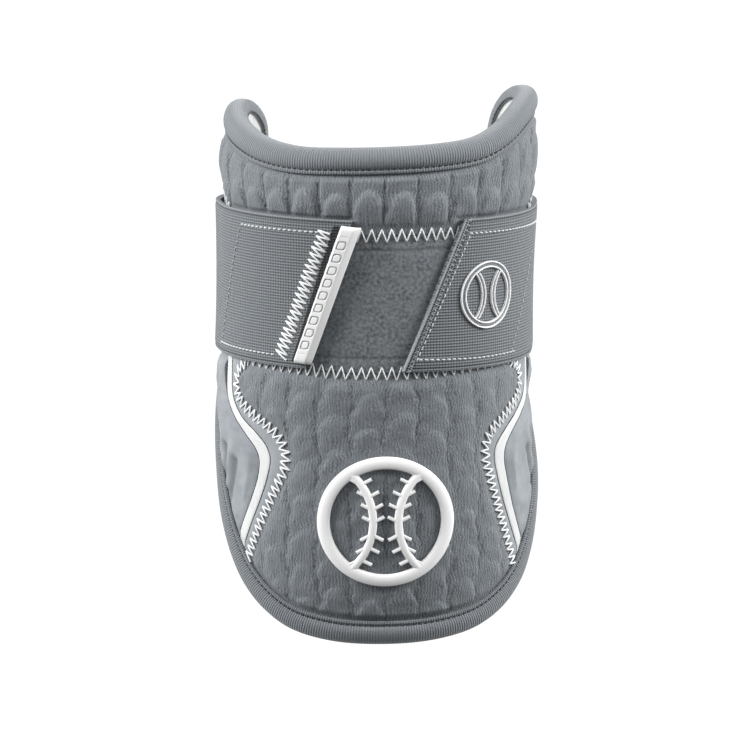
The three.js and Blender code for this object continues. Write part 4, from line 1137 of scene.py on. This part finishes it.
def sewing():
    top = SEAM_OUT + 0.25
    runs = zigzag(across(-122, 120, band_head, 0.1, 500), 3.7, 4.8, top, jitter=0.35)
    runs += zigzag(across(-59, 59, band_foot, 0.1, 400), 3.75, 5.0, top, jitter=0.35)
    sew("seam_zigzag_threads", runs, 0.27, 6, WHITE)
    runs = []
    for hand in ("left", "right"):
        line = seams[hand, "front"][0]
        line = line[rim_depth(line) > BINDING_WIDTH + 0.2]
        runs += zigzag(line, 2.95, 4.3, top, skew=0.4, jitter=0.7)
    sew("side_zigzag_threads", runs, 0.36, 6, WHITE)

    foot, head = np.array(TAB_CORNERS["foot"][0]), np.array(TAB_CORNERS["head"][0])
    line = np.stack([foot + (-6.3, 1.2), head + (-6.1, -2.2)])
    runs = zigzag(line, 2.35, 5.4, STRAP_OUT, strap, 0.45, skew=0.35, jitter=0.5)
    sew("tab_zigzag_threads", runs, 0.38, 6, WHITE)

    # Lockstitch: hem is how far the rows lie in from the strap's edges.
    end_foot, end_head = STRAP_ENDS["right"]
    hem = 5.3
    left_top = np.array([(-61, STRAP_HEAD - hem), (-23.5, STRAP_HEAD - hem + 0.4)])
    left_side = np.array([(-61.5, STRAP_HEAD - hem - 1), (-68, 40), (-79, STRAP_FOOT + hem - 3)])
    left_low = np.array([(-80, STRAP_FOOT + 4.0), (-42, STRAP_FOOT + 4.0)])
    right_top = np.array([(31.5, STRAP_HEAD - hem), (82, STRAP_HEAD - hem - 1)])
    right_low = np.array([(12.0, STRAP_FOOT + 4.6), (38, STRAP_FOOT + 3.9), (58, STRAP_FOOT + 4.0)])
    right_end = np.array([(end_foot + 5.0, STRAP_FOOT + 3.6), (end_head + 2.4, STRAP_HEAD - hem - 0.6)])
    right_side = np.array([(75, 46), (55, STRAP_FOOT + 3.2)])
    bold = (left_top, left_low, right_top, right_low)
    runs = [r for line in bold for r in dashes(line, 2.2, 0.58, STRAP_OUT, on_strap, 0.4)]
    sew("strap_lockstitch", runs, 0.32, 6, GREY)
    runs = dashes(right_end, 2.3, 0.7, STRAP_OUT, on_strap, 0.32)
    sew("strap_fine_lockstitch", runs, 0.24, 5, GREY)
    runs = [r for line in (left_side, right_side) for r in dashes(line, 2.8, 0.7, STRAP_OUT, on_strap, 0.25)]
    sew("strap_side_lockstitch", runs, 0.22, 5, MID)

    # Overlocked edge: loops that cross between two lines beside the hem.
    count = 62
    runs = []
    for i in range(count):
        for near, far, rise in ((1.5, 3.1, 0.6), (3.2, 1.7, 0.35)):
            k = (i + 0.5 + np.array([-rise, 0, rise])) / count
            across_at = end_foot + (end_head - end_foot) * k
            spots = across_at + np.array([near, (near + far) / 2, far])
            runs.append(on_strap(spots, STRAP_FOOT + k * STRAP_WIDTH, STRAP_OUT + np.array([-0.25, 0.15, -0.25])))
    sew("strap_end_overlock", runs, 0.22, 5, MID)
    # Painted shade: short dark strands stand for the shade in the overlock's holes.
    line = np.array([(end_foot + 2.4, STRAP_FOOT + 0.5), (end_head + 2.4, STRAP_HEAD - 0.5)])
    runs = dashes(line, 1.9, 0.3, STRAP_OUT, on_strap, 0.4)
    sew("strap_end_needle_holes", runs, 0.36, 6, DARK)
    # A round strand along the strap's folded end: the fold is real, its lighter grey is a painted highlight.
    line = sample([(end_foot + 0.5, STRAP_FOOT + 0.3), (end_head + 0.5, STRAP_HEAD - 0.3)], 60)
    sew("strap_end_fold_highlight", [on_strap(line[:, 0], line[:, 1], STRAP_OUT - 0.3)], 0.5, 8, MID)

    step = np.linspace(0, RIM_COUNT, int(rim_length / 2.35), endpoint=False)
    share = RIM_COUNT / len(step)
    # One row outside and one inside: shares of a stitch, depth from the rim, and distances out.
    rows = (([0.2, 0.35, 0.5, 0.65, 0.8], 7.82, 1.8 + np.array([-0.15, 0.1, 0.2, 0.1, -0.15])),
            ([0.1, 0.3, 0.5, 0.7, 0.9], 4.8, -5.45 - np.array([-0.1, 0.12, 0.2, 0.12, -0.1])))
    runs = []
    for s in step:
        for along, depth, out in rows:
            spots = rim_point(s + share * np.array(along), np.full(5, depth))
            runs.append(shell(spots[:, 0], spots[:, 1], out))
    sew("binding_lockstitch", runs, 0.36, 5, DARK)


# ---- studio ----

def studio():
    bpy.ops.object.select_all(action="DESELECT")
    bpy.ops.mesh.primitive_plane_add(size=30)
    floor = bpy.context.object
    floor.name = "floor"
    made, tree = material("white paper sweep", 0.9)
    inputs = tree.nodes["Principled BSDF"].inputs
    inputs["Base Color"].default_value = linear("#404040")
    inputs["Emission Color"].default_value = WHITE_LIGHT
    inputs["Emission Strength"].default_value = 1.0
    floor.data.materials.append(made)
    for name, place, size, power, aim in (
            ("left", (-1.3, 0.75, 0.4), 0.9, 32, (0, 0, 0.05)),
            ("right", (1.3, 0.75, 0.4), 0.9, 32, (0, 0, 0.05)),
            ("top", (-0.1, 1.1, 1.2), 0.8, 4.5, (0, 0.02, 0.05)),
            ("front", (-0.3, 0.2, 1.9), 0.7, 2, (0, 0, 0.05))):
        data = bpy.data.lights.new(name, "AREA")
        data.shape = "DISK"
        data.size = size
        data.energy = power
        lamp = bpy.data.objects.new(name, data)
        bpy.context.collection.objects.link(lamp)
        lamp.location = place
        lamp.rotation_euler = (Vector(aim) - Vector(place)).to_track_quat("-Z", "Y").to_euler()
    world = bpy.data.worlds.new("studio")
    world.use_nodes = True
    background = world.node_tree.nodes["Background"].inputs
    background["Color"].default_value = WHITE_LIGHT
    background["Strength"].default_value = 0.2
    bpy.context.scene.world = world
    bpy.context.scene.view_settings.view_transform = "Standard"


def camera():
    """Nearly overhead, with the neck at the top, as in the photograph."""
    raised, turned = radians(VIEW["raised"]), radians(VIEW["turned"])
    scale, away = VIEW["scale"], VIEW["away"]
    back = Vector((-sin(turned) * cos(raised), sin(raised), cos(turned) * cos(raised)))
    right = Vector((0, 1, 0)).cross(back).normalized()
    up = back.cross(right)
    target = Vector((-CENTRE[0], -CENTRE[1], VIEW["height"]))
    target = target - VIEW["off"][0] * scale * right - VIEW["off"][1] * scale * up
    data = bpy.data.cameras.new("camera")
    data.lens = data.sensor_width * away / (VIEW["pixels"] * scale)
    data.clip_end = 50
    made = bpy.data.objects.new("camera", data)
    bpy.context.collection.objects.link(made)
    turn = Matrix((right, up, back)).transposed().to_4x4()
    made.matrix_world = Matrix.Translation((target + back * away) / METRE) @ turn
    bpy.context.scene.camera = made


upper_panel()
loop_band()
lower_front_panel()
gussets_and_trims()
side_panels()
lining()
binding()
elastic_strap()
pull_tab()
ball("moulded_ball_badge", BADGE, PAD_OUT + 0.55, shell, "front_emblem")
outlined_ball()
sewing()
studio()
camera()
